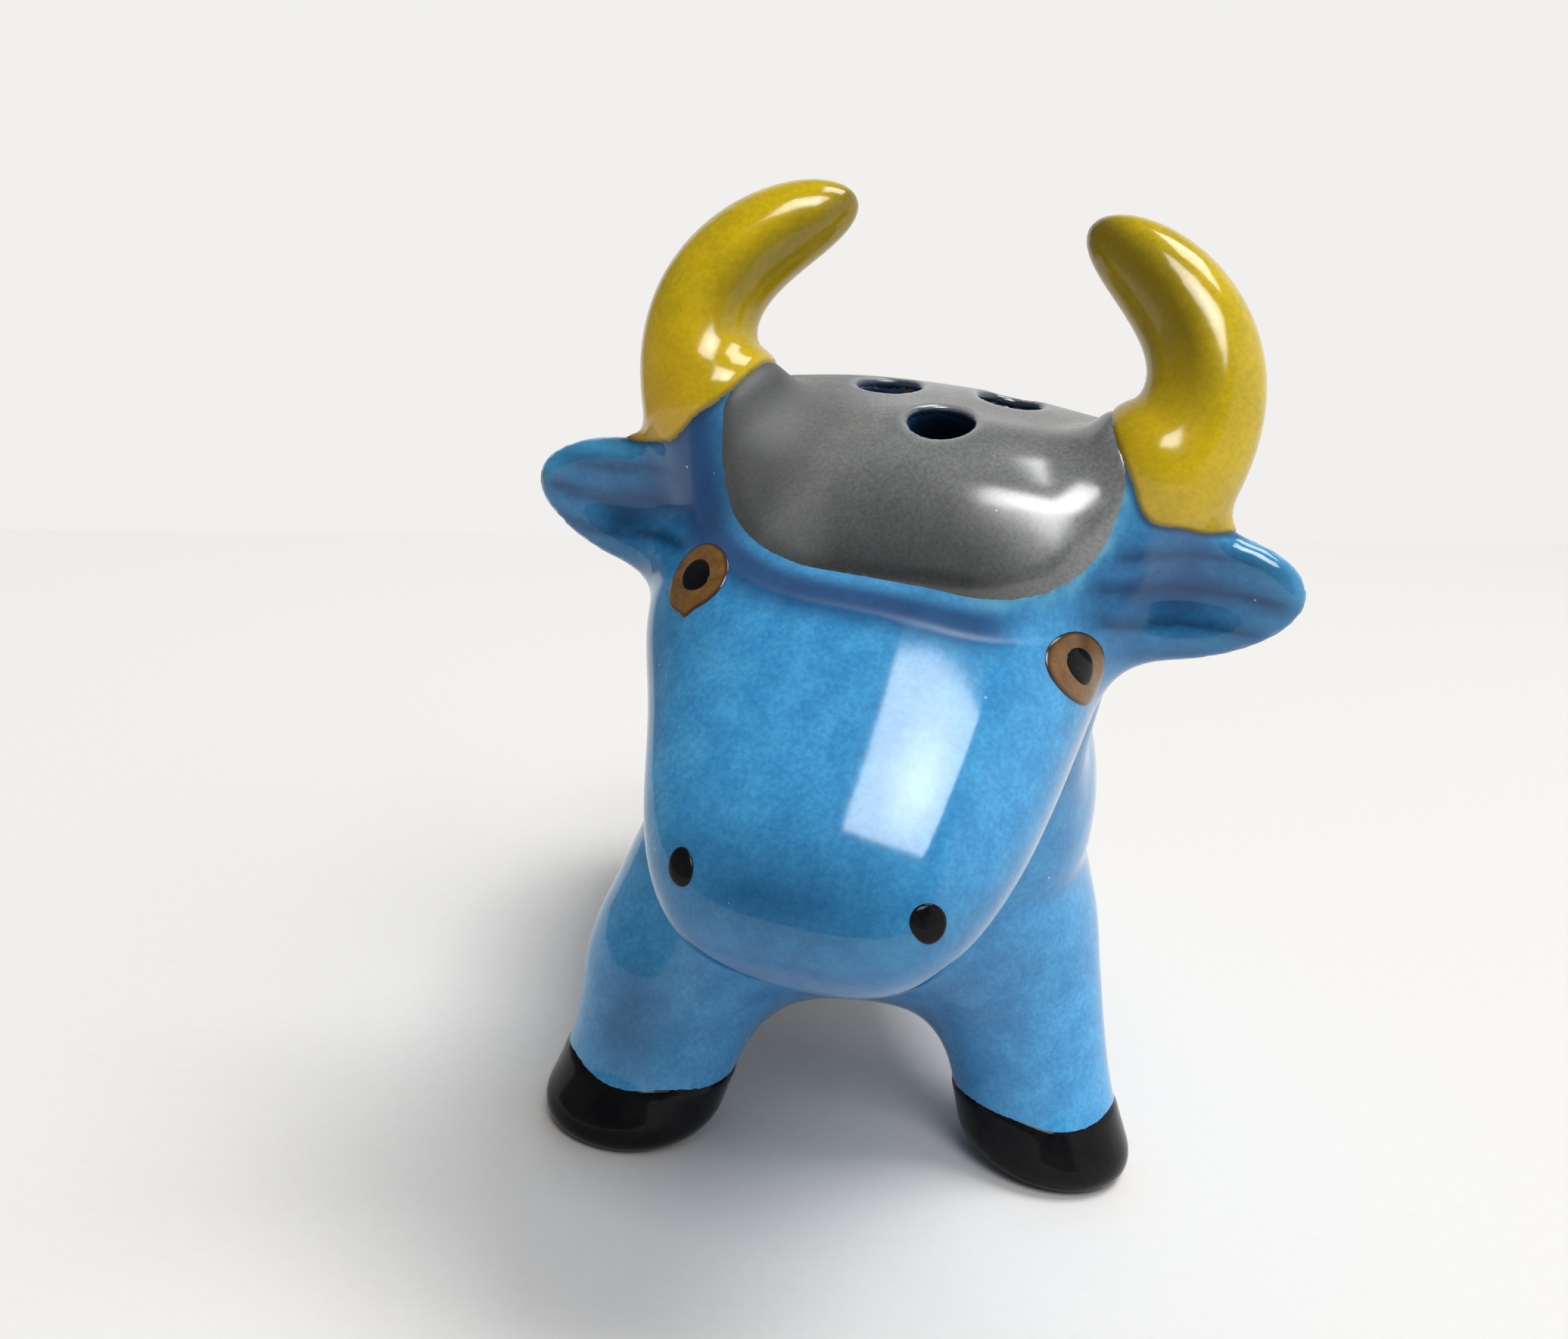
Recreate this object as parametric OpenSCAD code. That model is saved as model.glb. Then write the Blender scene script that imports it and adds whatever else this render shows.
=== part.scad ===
// Glazed clay bull, made as a table shaker: a hollow barrel on four splayed legs, with the head
// turned a little to one side, three pour holes in the forelock and a rubber stopper in the belly.
// Millimetres. +Z is up, the bull faces -Y, and its left side is +X. The table is the plane z = 0.

/* [Torso] */
// Length of the barrel from chest to rump
torso_len = 68; // [60:1:76]
// Width of the barrel at the chest end
chest_w = 38; // [34:1:42]
// Width of the barrel at the rump end
rump_w = 36; // [32:1:40]
// Height of the barrel
torso_h = 35.5; // [33:0.5:38]
// Height of the belly above the table
belly_z = 10; // [9.5:0.5:12]
// Thickness of the cast wall of the barrel and head
wall = 3.2; // [2.4:0.1:4]

/* [Head] */
// Length of the head from poll to muzzle
head_len = 47; // [44:1:50]
// Width of the head across the brow end
brow_w = 37; // [34:1:39]
// Width of the head at the muzzle end
muzzle_w = 23; // [20:0.2:26]
// Depth of the head at the brow end
brow_d = 26; // [24:0.2:28]
// Depth of the head at the muzzle end
muzzle_d = 12.6; // [11.6:0.2:14.6]
// Rise of the muzzle over the head's own axis
muzzle_lift = 3.2; // [2.2:0.1:3.8]
// Slope of the face below level
head_tilt = 45; // [38:1:52]
// Turn of the head, towards its right where negative
head_turn = -16.5; // [-20:0.5:0]
// Distance of the head's middle ahead of the chest
head_reach = 4; // [2:0.5:6]
// Height of the head's middle above the table
head_z = 41.9; // [40:0.2:44]
// Width of the neck where it leaves the barrel
neck_w = 27; // [25:1:29]
// Width of the neck inside the head
nape_w = 26; // [23:1:29]

/* [Forelock] */
// Thickness of the forelock pad
pad_t = 1; // [0.6:0.1:1.6]
// Width of the forelock pad
pad_w = 25.6; // [23:0.2:26.4]
// Distance of the pad's lower edge above the middle of the face
pad_edge = 1.8; // [1:0.1:4]
// Corner radius of the pad's lower edge
pad_corner = 10.2; // [7:0.1:10.4]
// Diameter of the pour holes
pour_d = 4.7; // [3:0.1:5]
// Distance of the pour holes from the middle of the head, to the left
pour_shift = 1; // [0:0.1:1.5]
// Distance between the two rear pour holes
pour_gap = 9; // [7:0.2:10]
// Distance of the front pour hole above the middle of the face
pour_front = 14.4; // [12:0.2:15]
// Distance of the rear pour holes above the middle of the face
pour_rear = 18.8; // [17.6:0.2:20]

/* [Horns and ears] */
// Radius of the horn at its root
horn_root_r = 5.2; // [4.4:0.1:5.8]
// Radius of the horn half way up
horn_mid_r = 4; // [3.4:0.1:4.4]
// Radius of the horn near its tip
horn_tip_r = 3.2; // [2.6:0.1:3.6]
// Sideways reach of the horn
horn_reach = 17; // [15.5:0.5:19]
// Distance of the pair of horns from the middle of the head, to the left
horn_shift = 0.9; // [0:0.1:1.2]
// Height of the horn tips above the head's middle
horn_rise = 33; // [29:0.5:36]
// Distance of each horn tip from the middle of the head
horn_tip_x = 8.8; // [7:0.1:12]
// Distance of each ear tip from the middle of the head
ear_reach = 27.3; // [25:0.1:30]
// Height of the ear
ear_h = 9.6; // [8:0.2:11]
// Thickness of the ear
ear_t = 5; // [4:0.2:6]

/* [Legs] */
// Distance between the front hooves, middle to middle
stance_w = 36.4; // [33:0.2:40]
// Distance between the hind hooves, middle to middle
hind_w = 27; // [25:0.5:30]
// Distance from the front hooves to the hind hooves, middle to middle
stance_len = 54; // [48:0.5:58]
// Radius of the leg above the hoof
leg_r = 6.9; // [6:0.1:7]
// Radius of the hoof
hoof_r = 7.4; // [7.1:0.1:7.8]
// Height of the hoof
hoof_h = 5.8; // [5:0.1:7]

/* [Face marks and tail] */
// Distance of the left eye below the right one, as dabbed by hand
eye_drop = 1.8; // [0:0.1:2]
// Length of the eye
eye_len = 5; // [4:0.1:6]
// Width of the eye
eye_w = 4; // [3:0.1:5]
// Diameter of the pupil
pupil_d = 1.9; // [1.4:0.1:2.4]
// Diameter of the nostril dab
nostril_d = 2.1; // [1.6:0.1:2.6]
// Thickness of a dab of glaze
dab_t = 0.35; // [0.25:0.05:0.5]
// Radius of the tail coil
tail_r = 2.2; // [1.8:0.1:2.8]

/* [Stopper] */
// Diameter of the fill hole
fill_d = 18; // [14:0.5:20]
// Width of the seat around the fill hole
seat_w = 1.8; // [1.4:0.1:2.6]
// Depth of the seat in the belly
seat_depth = 2; // [1.4:0.1:2.2]
// Thickness of the stopper's flange
flange_t = 2; // [1.6:0.1:2.4]
// Length of the stopper's plug above its flange
plug_len = 6; // [5:0.5:7]
// Thickness of the plug's wall
plug_wall = 1.6; // [1.2:0.1:2]
// Width of the bar across the plug
bar_w = 2; // [1.6:0.1:2.4]
// Clearance of the plug in the fill hole
plug_clear = 0.06; // [0.04:0.01:0.1]

/* [Hidden] */
$fn = 64;

// The barrel's middle is the plane y = 0 until the finished bull is set on its origin.
half_len = torso_len / 2;
torso_z = belly_z + torso_h / 2;
head_y = -half_len - head_reach;
turn_back = 9;
turn_y = -half_len + turn_back;
seat_z = belly_z + seat_depth;
seat_r = fill_d / 2 + seat_w;
hip_rise = 16;
hip_z = belly_z + hip_rise;

// The origin is under the middle of the whole bull, from its nose to its tail and from side to side.
muzzle_out = 0.92 * (cos(head_tilt) * head_len + sin(head_tilt) * muzzle_d) / 2 + sin(head_tilt) * muzzle_lift;
nose_y = turn_y + (head_y - turn_y - muzzle_out) * cos(head_turn);
rump_y = half_len + 1.4 * tail_r;
foot_x = stance_w / 2 + hoof_r;
ear_root = [10, 3, 8.5];
ear_tip_back = 1.5;
ear_tip_rise = 11.1;
ear_y = head_y + ear_tip_back - turn_y;
ear_out_left = ear_reach * cos(head_turn) - ear_y * sin(head_turn);
ear_out_right = ear_reach * cos(head_turn) + ear_y * sin(head_turn);
frame_x = (max(ear_out_right, foot_x) - max(ear_out_left, foot_x)) / 2;
frame_y = -(nose_y + rump_y) / 2;

function blend(a, b, t) = a + (b - a) * t;
function unit(v) = v / norm(v);
function signed_pow(v, e) = sign(v) * pow(abs(v), e);

// Height of a swollen profile, 1 at its middle and 0 at its two ends. A larger p is blunter.
function swell(u, p) = pow(max(0, 1 - pow(abs(u), p)), 1 / p);

// Points round an oval of half-sizes a and b. A larger e is squarer. The points start turn steps round.
function oval(a, b, e, n, turn = 0) = [
    for (i = [0 : n - 1])
        let (f = 360 * (i + turn) / n)
        [a * signed_pow(cos(f), 2 / e), b * signed_pow(sin(f), 2 / e)]
];

// An oval set at a point, square to a direction, with its first axis square to the given side.
function oval_at(p, along, side, a, b, e, n, turn = 0) =
    let (t = unit(along), v = unit(cross(t, side)), w = cross(v, t))
    [for (q = oval(a, b, e, n, turn)) p + w * q[0] + v * q[1]];

function bezier(p, t) =
    pow(1 - t, 3) * p[0] + 3 * t * pow(1 - t, 2) * p[1] + 3 * t * t * (1 - t) * p[2] + t * t * t * p[3];

function bezier_along(p, t) =
    pow(1 - t, 2) * (p[1] - p[0]) + 2 * t * (1 - t) * (p[2] - p[1]) + t * t * (p[3] - p[2]);

// Closed clay skin through a row of rings.
module skin(rings) {
    n = len(rings[0]);
    last = (len(rings) - 1) * n;
    polyhedron(
        points = [for (r = rings) each r],
        faces = concat(
            [[for (i = [0 : n - 1]) i]],
            [for (j = [0 : n : last - n], i = [0 : n - 1])
                let (k = (i + 1) % n)
                each [[j + i, j + i + n, j + k + n], [j + i, j + k + n, j + k]]],
            [[for (i = [n - 1 : -1 : 0]) last + i]]
        )
    );
}

// Pieces of clay worked into one another while wet, fired as one piece.
module worked() {
    resize([0, 0, 0]) union() {
        children();
    }
}

module in_head() {
    translate([0, turn_y, 0])
        rotate([0, 0, head_turn])
            translate([0, head_y - turn_y, head_z])
                children();
}

module pair_side(side) {
    scale([side, 1, 1]) children();
}

// Angles short of their very ends at which the barrel and the head are closed flat.
torso_tip = 2;
head_tip = 3;

// Barrel of the body, larger all round by grow.
module torso_form(grow, n = 40, steps = 26) {
    skin([
        for (i = [0 : steps])
            let (
                u = -cos(blend(torso_tip, 180 - torso_tip, i / steps)),
                s = swell(u, 3.6),
                a = (blend(chest_w, rump_w, (1 + u) / 2) / 2 + grow) * s,
                b = (torso_h / 2 + grow) * s
            )
            [for (q = oval(b, a, 2.1, n, -i / 2)) [q[1], u * (half_len + grow), torso_z + q[0]]]
    ]);
}

// Half-depth and half-width of the head at a distance w from its middle towards the muzzle.
function head_u(w) = w / (head_len / 2);
function deep_swell(u) = swell(u, u < 0 ? 2.8 : 3.4);
function wide_swell(u) = swell(u, 3.6);
function head_deep(w) = blend(brow_d, muzzle_d, (1 + head_u(w)) / 2) / 2 * deep_swell(head_u(w));
function head_wide(w) = blend(brow_w, muzzle_w, (1 + head_u(w)) / 2) / 2 * wide_swell(head_u(w));
function head_lift(w) = muzzle_lift * (1 + head_u(w)) / 2;

// Slope of the middle of the face against the head's own axis.
function head_slope(w) = atan((head_deep(w + 0.1) - head_deep(w - 0.1)) / 0.2);

// Point of the face at a distance w down the face and x to the side.
function face_n(w, x) = head_lift(w) + head_deep(w) * swell(x / head_wide(w), 2.4);

// The head's own axes: w runs down the face to the muzzle, and n stands up from the face.
head_w = [0, -cos(head_tilt), -sin(head_tilt)];
head_n = [0, -sin(head_tilt), cos(head_tilt)];

module head_form(grow, n = 40, steps = 26) {
    skin([
        for (i = [0 : steps])
            let (
                u = -cos(blend(head_tip, 180 - head_tip, i / steps)),
                a = (blend(brow_w, muzzle_w, (1 + u) / 2) / 2 + grow) * wide_swell(u),
                b = (blend(brow_d, muzzle_d, (1 + u) / 2) / 2 + grow) * deep_swell(u)
            )
            [for (q = oval(a, b, 2.4, n, -i / 2))
                [q[0], 0, 0]
                + head_w * u * (head_len / 2 + grow)
                + head_n * (q[1] + muzzle_lift * (1 + u) / 2)]
    ]);
}

// Neck from inside the barrel to inside the head.
module neck_form(grow, n = 36, steps = 4) {
    foot = [0, 27, torso_z - 1 - head_z];
    top = [0, 6, 4];
    skin([
        for (i = [0 : steps])
            let (t = i / steps, r = blend(neck_w, nape_w, t) / 2 + grow)
            oval_at(blend(foot, top, t), top - foot, [1, 0, 0], r, r, 2, n, -i / 2)
    ]);
}

module shell_cavity() {
    in_head() {
        head_form(-wall, 32, 18);
        neck_form(-wall, 32);
    }
}

// Barrel: cast hollow, with the same wall behind the stopper's seat as all round it.
module torso() {
    difference() {
        worked() difference() {
            torso_form(0);
            difference() {
                torso_form(-wall, 32, 18);
                translate([0, 0, belly_z - 1])
                    cylinder(r = seat_r + wall, h = 1 + seat_depth + wall);
            }
            in_head() neck_form(-wall, 32);
        }
        translate([0, 0, belly_z - 1]) cylinder(r = seat_r, h = 1 + seat_depth);
        translate([0, 0, belly_z]) cylinder(d = fill_d, h = seat_depth + wall + 1);
    }
}

// Bores of the three pour holes, square to the crown where each one stands.
module pour_holes() {
    in_head()
        for (h = [[0, pour_front], [-pour_gap / 2, pour_rear], [pour_gap / 2, pour_rear]])
            translate([h[0] + pour_shift, 0, 0] - head_w * h[1] + head_n * face_n(-h[1], h[0]))
                rotate([90 - head_tilt - head_slope(-h[1]), 0, 0])
                    translate([0, 0, -wall - 3]) cylinder(d = pour_d, h = wall + 7);
}

module head() {
    difference() {
        worked() difference() {
            in_head() {
                head_form(0);
                neck_form(0);
                for (side = [-1, 1]) pair_side(side) horn_boss(side, 0);
            }
            torso_form(0);
            shell_cavity();
        }
        pour_holes();
    }
}

// Forelock: a pad of slip over the crown between the horns, rounded at its lower corners.
module forelock() {
    difference() {
        worked() difference() {
            in_head() intersection() {
                union() {
                    head_form(pad_t);
                    for (side = [-1, 1]) pair_side(side) horn_boss(side, pad_t, 0.4);
                }
                multmatrix([
                    [1, 0, 0, 0],
                    [0, head_w[1], head_n[1], 0],
                    [0, head_w[2], head_n[2], 0],
                    [0, 0, 0, 1]
                ])
                    translate([0, 0, 4]) linear_extrude(brow_d) hull() {
                        for (x = [-1, 1])
                            translate([x * (pad_w / 2 - pad_corner), -pad_edge - pad_corner])
                                circle(pad_corner);
                        for (x = [-1, 1])
                            translate([x * (pad_w / 2 - 8), 5 - head_len / 2])
                                circle(8);
                    }
            }
            in_head() {
                head_form(0);
                for (side = [-1, 1]) pair_side(side) {
                    horn_form(side);
                    horn_boss(side, 0);
                }
            }
        }
        pour_holes();
    }
}

// Foot of a horn on the side of the crown, and the way it leaves it.
horn_foot = [15.5, 2.2, 17.5];
horn_out = [0.66, 0, 0.75];

// Straight start of a horn, and how far its bend lies past its reach, behind the head's middle and
// below its tip. The tip lies a little further back.
horn_start = 4.5;
horn_bend_out = 2.6;
horn_bend_back = 3.5;
horn_bend_drop = 5;
horn_tip_back = 5.5;

// Depth of a horn's swelling in the crown, and how much wider it is down there than at the foot.
boss_deep = 10;
boss_flare = 1;

// Horn: out from the side of the crown and round to a blunt tip above it.
module horn_form(side, n = 20, steps = 16) {
    path = [
        horn_foot,
        horn_foot + horn_start * horn_out,
        [horn_reach + horn_bend_out, horn_bend_back, horn_rise - horn_bend_drop],
        [horn_tip_x, horn_tip_back, horn_rise]
    ];
    skin([
        for (i = [0 : steps])
            let (
                t = min(0.998, sin(90 * i / steps)),
                swollen = blend(horn_mid_r, horn_tip_r, t) + (horn_root_r - horn_mid_r) * pow(1 - t, 4),
                r = swollen * sqrt(1 - pow(t, 9))
            )
            oval_at(bezier(path, t) + [side * horn_shift, 0, 0], bezier_along(path, t), [0, 1, 0], r, r, 2, n)
    ]);
}

// Swelling of the crown that carries the horn, from inside the head out to the horn's foot, or short of it.
module horn_boss(side, grow, short = 0, n = 20) {
    skin([
        for (i = [0 : 3])
            let (
                d = [boss_deep, boss_deep / 2, boss_deep / 5, short][i],
                r = horn_root_r + boss_flare * pow(d / boss_deep, 2) + grow
            )
            oval_at(horn_foot - d * horn_out + [side * horn_shift, 0, 0], horn_out, [0, 1, 0], r, r, 2, n, (3 - i) / 2)
    ]);
}

module horn(side) {
    worked() difference() {
        in_head() pair_side(side) horn_form(side);
        in_head() head_form(0);
    }
}

// Ear: a leaf of clay pressed hollow in front.
module ear_form(n = 24, steps = 16) {
    root = ear_root;
    tip = [ear_reach, ear_tip_back, ear_tip_rise];
    difference() {
        skin([
            for (i = [0 : steps])
                let (
                    t = blend(0.02, 0.997, sin(90 * i / steps)),
                    s = sqrt(1 - pow((t - 0.4) / 0.6, 2))
                )
                oval_at(blend(root, tip, t), tip - root, [0, 1, 0], ear_t / 2 * s, ear_h / 2 * s, 2, n)
        ]);
        translate(blend(root, tip, 0.62) + [0, -ear_t / 2 - 0.6, -0.4])
            scale([ear_h * 0.52, ear_t * 0.55, ear_h * 0.32])
                sphere(1, $fn = 24);
    }
}

module ear(side) {
    worked() difference() {
        in_head() pair_side(side) ear_form();
        in_head() head_form(0);
        in_head() pair_side(side) {
            horn_form(side);
            horn_boss(side, 0);
        }
    }
}

// A raised dab of glaze on the face: between two heights over the head, inside an oval.
module dab(low, high, side, x, w, lean, a, b) {
    worked() in_head() pair_side(side) difference() {
        intersection() {
            head_form(high);
            translate([x, 0, 0] + head_w * w + head_n * face_n(w, x))
                multmatrix([
                    [1, 0, 0, 0],
                    [0, head_w[1], head_n[1], 0],
                    [0, head_w[2], head_n[2], 0],
                    [0, 0, 0, 1]
                ])
                    rotate([0, lean, 0])
                        translate([0, 0, -3]) scale([a / 2, b / 2, 1]) cylinder(r = 1, h = 8, $fn = 28);
        }
        head_form(low);
    }
}

eye_lean = 45;
function eye_x(side) = side > 0 ? 13.8 : 13;
function eye_down(side) = side > 0 ? eye_drop - 1.2 : -1.2;

module eye(side) {
    dab(0, dab_t, side, eye_x(side), eye_down(side), eye_lean, eye_w, eye_len);
}

module pupil(side) {
    dab(dab_t, 2 * dab_t, side, eye_x(side), eye_down(side), eye_lean, pupil_d, pupil_d * 1.25);
}

module nostril(side) {
    dab(0, dab_t, side, 7.6, 19.4, 40, nostril_d, nostril_d);
}

// Middle of a leg at a height above the table. Hooves stand wider and longer than the hips.
function leg_mid(side, end, z) = [
    side * blend((end < 0 ? stance_w : hind_w) / 2, (end < 0 ? stance_w - 19 : hind_w - 12) / 2, z / hip_z),
    end * blend(stance_len / 2, stance_len / 2 - 7, z / hip_z),
    z
];

module leg(side, end) {
    worked() difference() {
        skin([
            for (i = [0 : 10])
                let (
                    t = sin(90 * i / 10),
                    z = blend(hoof_h, hip_z, t),
                    r = (leg_r + 4 * pow(t, 1.5)) * sqrt(1 - 0.97 * pow(t, 6))
                )
                [for (q = oval(r, r, 2, 28)) leg_mid(side, end, z) + [q[0], q[1], 0]]
        ]);
        torso_form(0);
    }
}

// Hoof: rounded under its edge, with a flat sole.
module hoof(side, end) {
    edge = 1.6;
    difference() {
        worked() skin([
            for (z = [-0.5, 0, 0.25, 0.6, 1.1, 1.6, 3, 4.4, hoof_h])
                let (
                    tuck = z < edge ? edge - sqrt(pow(edge, 2) - pow(edge - max(z, 0), 2)) : 0,
                    r = hoof_r - 0.3 * z / hoof_h - tuck * 0.8
                )
                [for (q = oval(r, r, 2, 28)) leg_mid(side, end, z) + [q[0], q[1], 0]]
        ]);
        translate([0, 0, -hoof_h / 2])
            cube([stance_w + 4 * hoof_r, stance_len + 4 * hoof_r, hoof_h], center = true);
    }
}

// Middle of the tail at an angle up the rump.
function tail_mid(f) = [
    0,
    (half_len + 0.5 * tail_r) * signed_pow(cos(f), 2 / 3.6),
    torso_z + (torso_h / 2 + 0.5 * tail_r) * signed_pow(sin(f), 2 / 3.6)
];
tail_from = 58;
tail_to = -14;
tuft_to = -44;

module tail() {
    worked() difference() {
        skin([
            for (i = [0 : 20])
                let (t = i / 20, f = blend(tail_from, tail_to, t), r = tail_r * sqrt(1 - pow(1 - t, 8) * 0.9))
                oval_at(tail_mid(f), tail_mid(f - 1) - tail_mid(f), [1, 0, 0], r, r, 2, 16, -i / 2)
        ]);
        torso_form(0);
    }
}

module tail_tuft() {
    worked() difference() {
        skin([
            for (i = [0 : 10])
                let (t = i / 10, f = blend(tail_to, tuft_to, t), r = tail_r * (1 + 1.1 * t) * sqrt(1 - pow(t, 4) * 0.99))
                oval_at(tail_mid(f), tail_mid(f - 1) - tail_mid(f), [1, 0, 0], r * 1.2, r, 2, 16, (1 - i) / 2)
        ]);
        torso_form(0);
    }
}

// Rubber stopper: a flange on the seat and a hollow plug up the fill hole, with a bar to pull it by.
module stopper() {
    plug_r = fill_d / 2 - plug_clear;
    hollow_r = plug_r - plug_wall;
    translate([0, 0, seat_z]) {
        difference() {
            union() {
                translate([0, 0, -flange_t]) cylinder(r = seat_r - 0.3, h = flange_t);
                cylinder(r = plug_r, h = plug_len - 1.5);
                translate([0, 0, plug_len - 1.5]) cylinder(r1 = plug_r, r2 = plug_r - 1, h = 1.5);
            }
            translate([0, 0, -flange_t - 1]) cylinder(r = hollow_r, h = flange_t + plug_len - 1);
        }
        intersection() {
            translate([-bar_w / 2, -plug_r, -flange_t]) cube([bar_w, 2 * plug_r, flange_t + plug_len - 1]);
            translate([0, 0, -flange_t]) cylinder(r = hollow_r + 0.4, h = flange_t + plug_len);
        }
    }
}

translate([frame_x, frame_y, 0]) {
    torso();
    head();
    forelock();
    horn(1);  // horn_left
    horn(-1);  // horn_right
    ear(1);  // ear_left
    ear(-1);  // ear_right
    eye(1);  // eye_left
    eye(-1);  // eye_right
    pupil(1);  // pupil_left
    pupil(-1);  // pupil_right
    nostril(1);  // nostril_left
    nostril(-1);  // nostril_right
    leg(1, -1);  // leg_front_left
    leg(-1, -1);  // leg_front_right
    leg(1, 1);  // leg_hind_left
    leg(-1, 1);  // leg_hind_right
    hoof(1, -1);  // hoof_front_left
    hoof(-1, -1);  // hoof_front_right
    hoof(1, 1);  // hoof_hind_left
    hoof(-1, 1);  // hoof_hind_right
    tail();
    tail_tuft();
    stopper();
}
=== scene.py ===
# Glazed clay bull, made as a table shaker: one cast earthenware body under coloured glazes, and a
# rubber stopper in its belly. Sizes are in millimetres, from the middle of the barrel at table level.
import math

import bpy
import numpy as np
from mathutils import Matrix, Vector


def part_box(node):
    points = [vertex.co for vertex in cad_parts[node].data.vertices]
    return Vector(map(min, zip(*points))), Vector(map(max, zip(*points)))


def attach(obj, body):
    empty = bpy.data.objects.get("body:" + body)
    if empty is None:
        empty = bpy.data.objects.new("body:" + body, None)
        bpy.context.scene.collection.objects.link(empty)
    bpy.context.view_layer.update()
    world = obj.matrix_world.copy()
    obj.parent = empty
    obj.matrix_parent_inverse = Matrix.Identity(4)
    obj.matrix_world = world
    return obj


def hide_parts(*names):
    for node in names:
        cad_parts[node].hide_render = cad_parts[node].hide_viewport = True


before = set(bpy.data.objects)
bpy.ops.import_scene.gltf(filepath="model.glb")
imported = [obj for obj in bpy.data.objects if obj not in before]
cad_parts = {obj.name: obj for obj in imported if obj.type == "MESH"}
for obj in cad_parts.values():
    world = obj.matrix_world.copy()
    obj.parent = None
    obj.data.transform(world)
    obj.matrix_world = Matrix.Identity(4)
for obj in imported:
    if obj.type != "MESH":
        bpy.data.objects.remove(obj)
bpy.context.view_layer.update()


# Barrel. Cast hollow in earthenware slip, blunt at the chest and the rump and a little wider at the
# chest. Legs, neck and tail were luted to it with slip, so they run into it in soft hollows.
WALL = 3.2
BARREL_WIDE, BARREL_LONG, BARREL_TALL = 18.5, 34.0, 17.75
BARREL_TAPER = 0.5
BARREL_Z = 27.75
BARREL_SECTION, BARREL_ENDS = 2.1, 3.6


def gap_from(form, p, feel=0.02):
    """About how far each point is from a form's surface, from the form's value and its slope there."""
    here = form(p)
    steep = np.zeros(len(p))
    for axis in range(3):
        q = p.copy()
        q[:, axis] += feel
        steep += ((form(q) - here) / feel) ** 2
    return here / np.sqrt(np.maximum(steep, 1e-8))


def barrel(p, grow=0.0):
    def form(q):
        u = q[:, 1] / (BARREL_LONG + grow)
        wide = BARREL_WIDE - BARREL_TAPER * u + grow
        x = np.abs(q[:, 0] / wide) ** BARREL_SECTION
        z = np.abs((q[:, 2] - BARREL_Z) / (BARREL_TALL + grow)) ** BARREL_SECTION
        section = (x + z) ** (BARREL_ENDS / BARREL_SECTION)
        return (section + np.abs(u) ** BARREL_ENDS) ** (1 / BARREL_ENDS) - 1

    return gap_from(form, p)


# Legs. Thick tapered rolls of clay, splayed so that the hooves stand wider than the hips. The front
# pair is spread further than the hind pair. Each stands on a flat sole with a rounded edge.
HIP_Z = 26.0
HOOF_H = 5.8
LEG_R, HIP_SWELL, FOOT_SPREAD, FOOT_RISE = 6.9, 4.0, 0.5, 2.0
HIP_TRIM, HIP_EDGE, SOLE_EDGE = 1.0, 2.0, 2.8
LEG_LEAN = 0.94
FRONT_FOOT, FRONT_HIP = 18.2, 8.7
HIND_FOOT, HIND_HIP = 13.5, 7.5
FOOT_Y, HIP_Y = 27.0, 20.0
RIGHT_FORELEG_FULL, FULL_AT, FULL_RUN = 0.8, 0.55, 0.25
LEGS = [("front_left", 1, -1), ("front_right", -1, -1), ("hind_left", 1, 1), ("hind_right", -1, 1)]


def ramp(value, start, end):
    """Goes from 0 to 1 as a value goes from start to end."""
    return np.clip((value - start) / (end - start), 0, 1)


def bell(off, width):
    """A soft swelling: 1 in the middle, and gone a width or two away."""
    return np.exp(-((off / width) ** 2))


def round_both(a, b, edge):
    """Inside both forms, with the edge between them rounded to a radius."""
    over = np.hypot(np.maximum(a + edge, 0), np.maximum(b + edge, 0))
    return over + np.minimum(np.maximum(a + edge, b + edge), 0) - edge


def soft_join(a, b, fillet):
    """Both forms luted together, with a soft hollow of that width between them."""
    near = np.maximum(fillet - np.abs(a - b), 0) / fillet
    return np.minimum(a, b) - near * near * fillet * 0.25


def soft_cut(a, b, fillet):
    """The first form with the second taken out of it, and the edge softened."""
    return -soft_join(-a, b, fillet)


def leg_roll(p, side, end):
    foot, hip = (FRONT_FOOT, FRONT_HIP) if end < 0 else (HIND_FOOT, HIND_HIP)
    share = p[:, 2] / HIP_Z
    mid_x = side * (foot + (hip - foot) * share)
    mid_y = end * (FOOT_Y + (HIP_Y - FOOT_Y) * share)
    full = RIGHT_FORELEG_FULL * (side + end == -2) * bell(share - FULL_AT, FULL_RUN)
    mid_x = mid_x + side * full
    rise = ramp(p[:, 2], HOOF_H, HIP_Z)
    foot_part = ramp(p[:, 2], HOOF_H + FOOT_RISE, 0)
    girth = LEG_R + FOOT_SPREAD * foot_part**2 + HIP_SWELL * rise**1.5
    girth = girth * np.sqrt(1 - 0.9 * rise**6) + full
    return (np.hypot(p[:, 0] - mid_x, p[:, 1] - mid_y) - girth) * LEG_LEAN


def leg(p, side, end):
    return soft_cut(leg_roll(p, side, end), HIP_Z - HIP_TRIM - p[:, 2], HIP_EDGE)


# Tail. A thin coil of clay, laid down the middle of the rump and pressed on with slip. It ends in a
# wider tuft.
TAIL_R, TAIL_STEPS = 2.2, 40
TAIL_FROM, TAIL_TO, TUFT_TO = 58.0, -14.0, -44.0
TUFT_SWELL = 1.1


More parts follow.
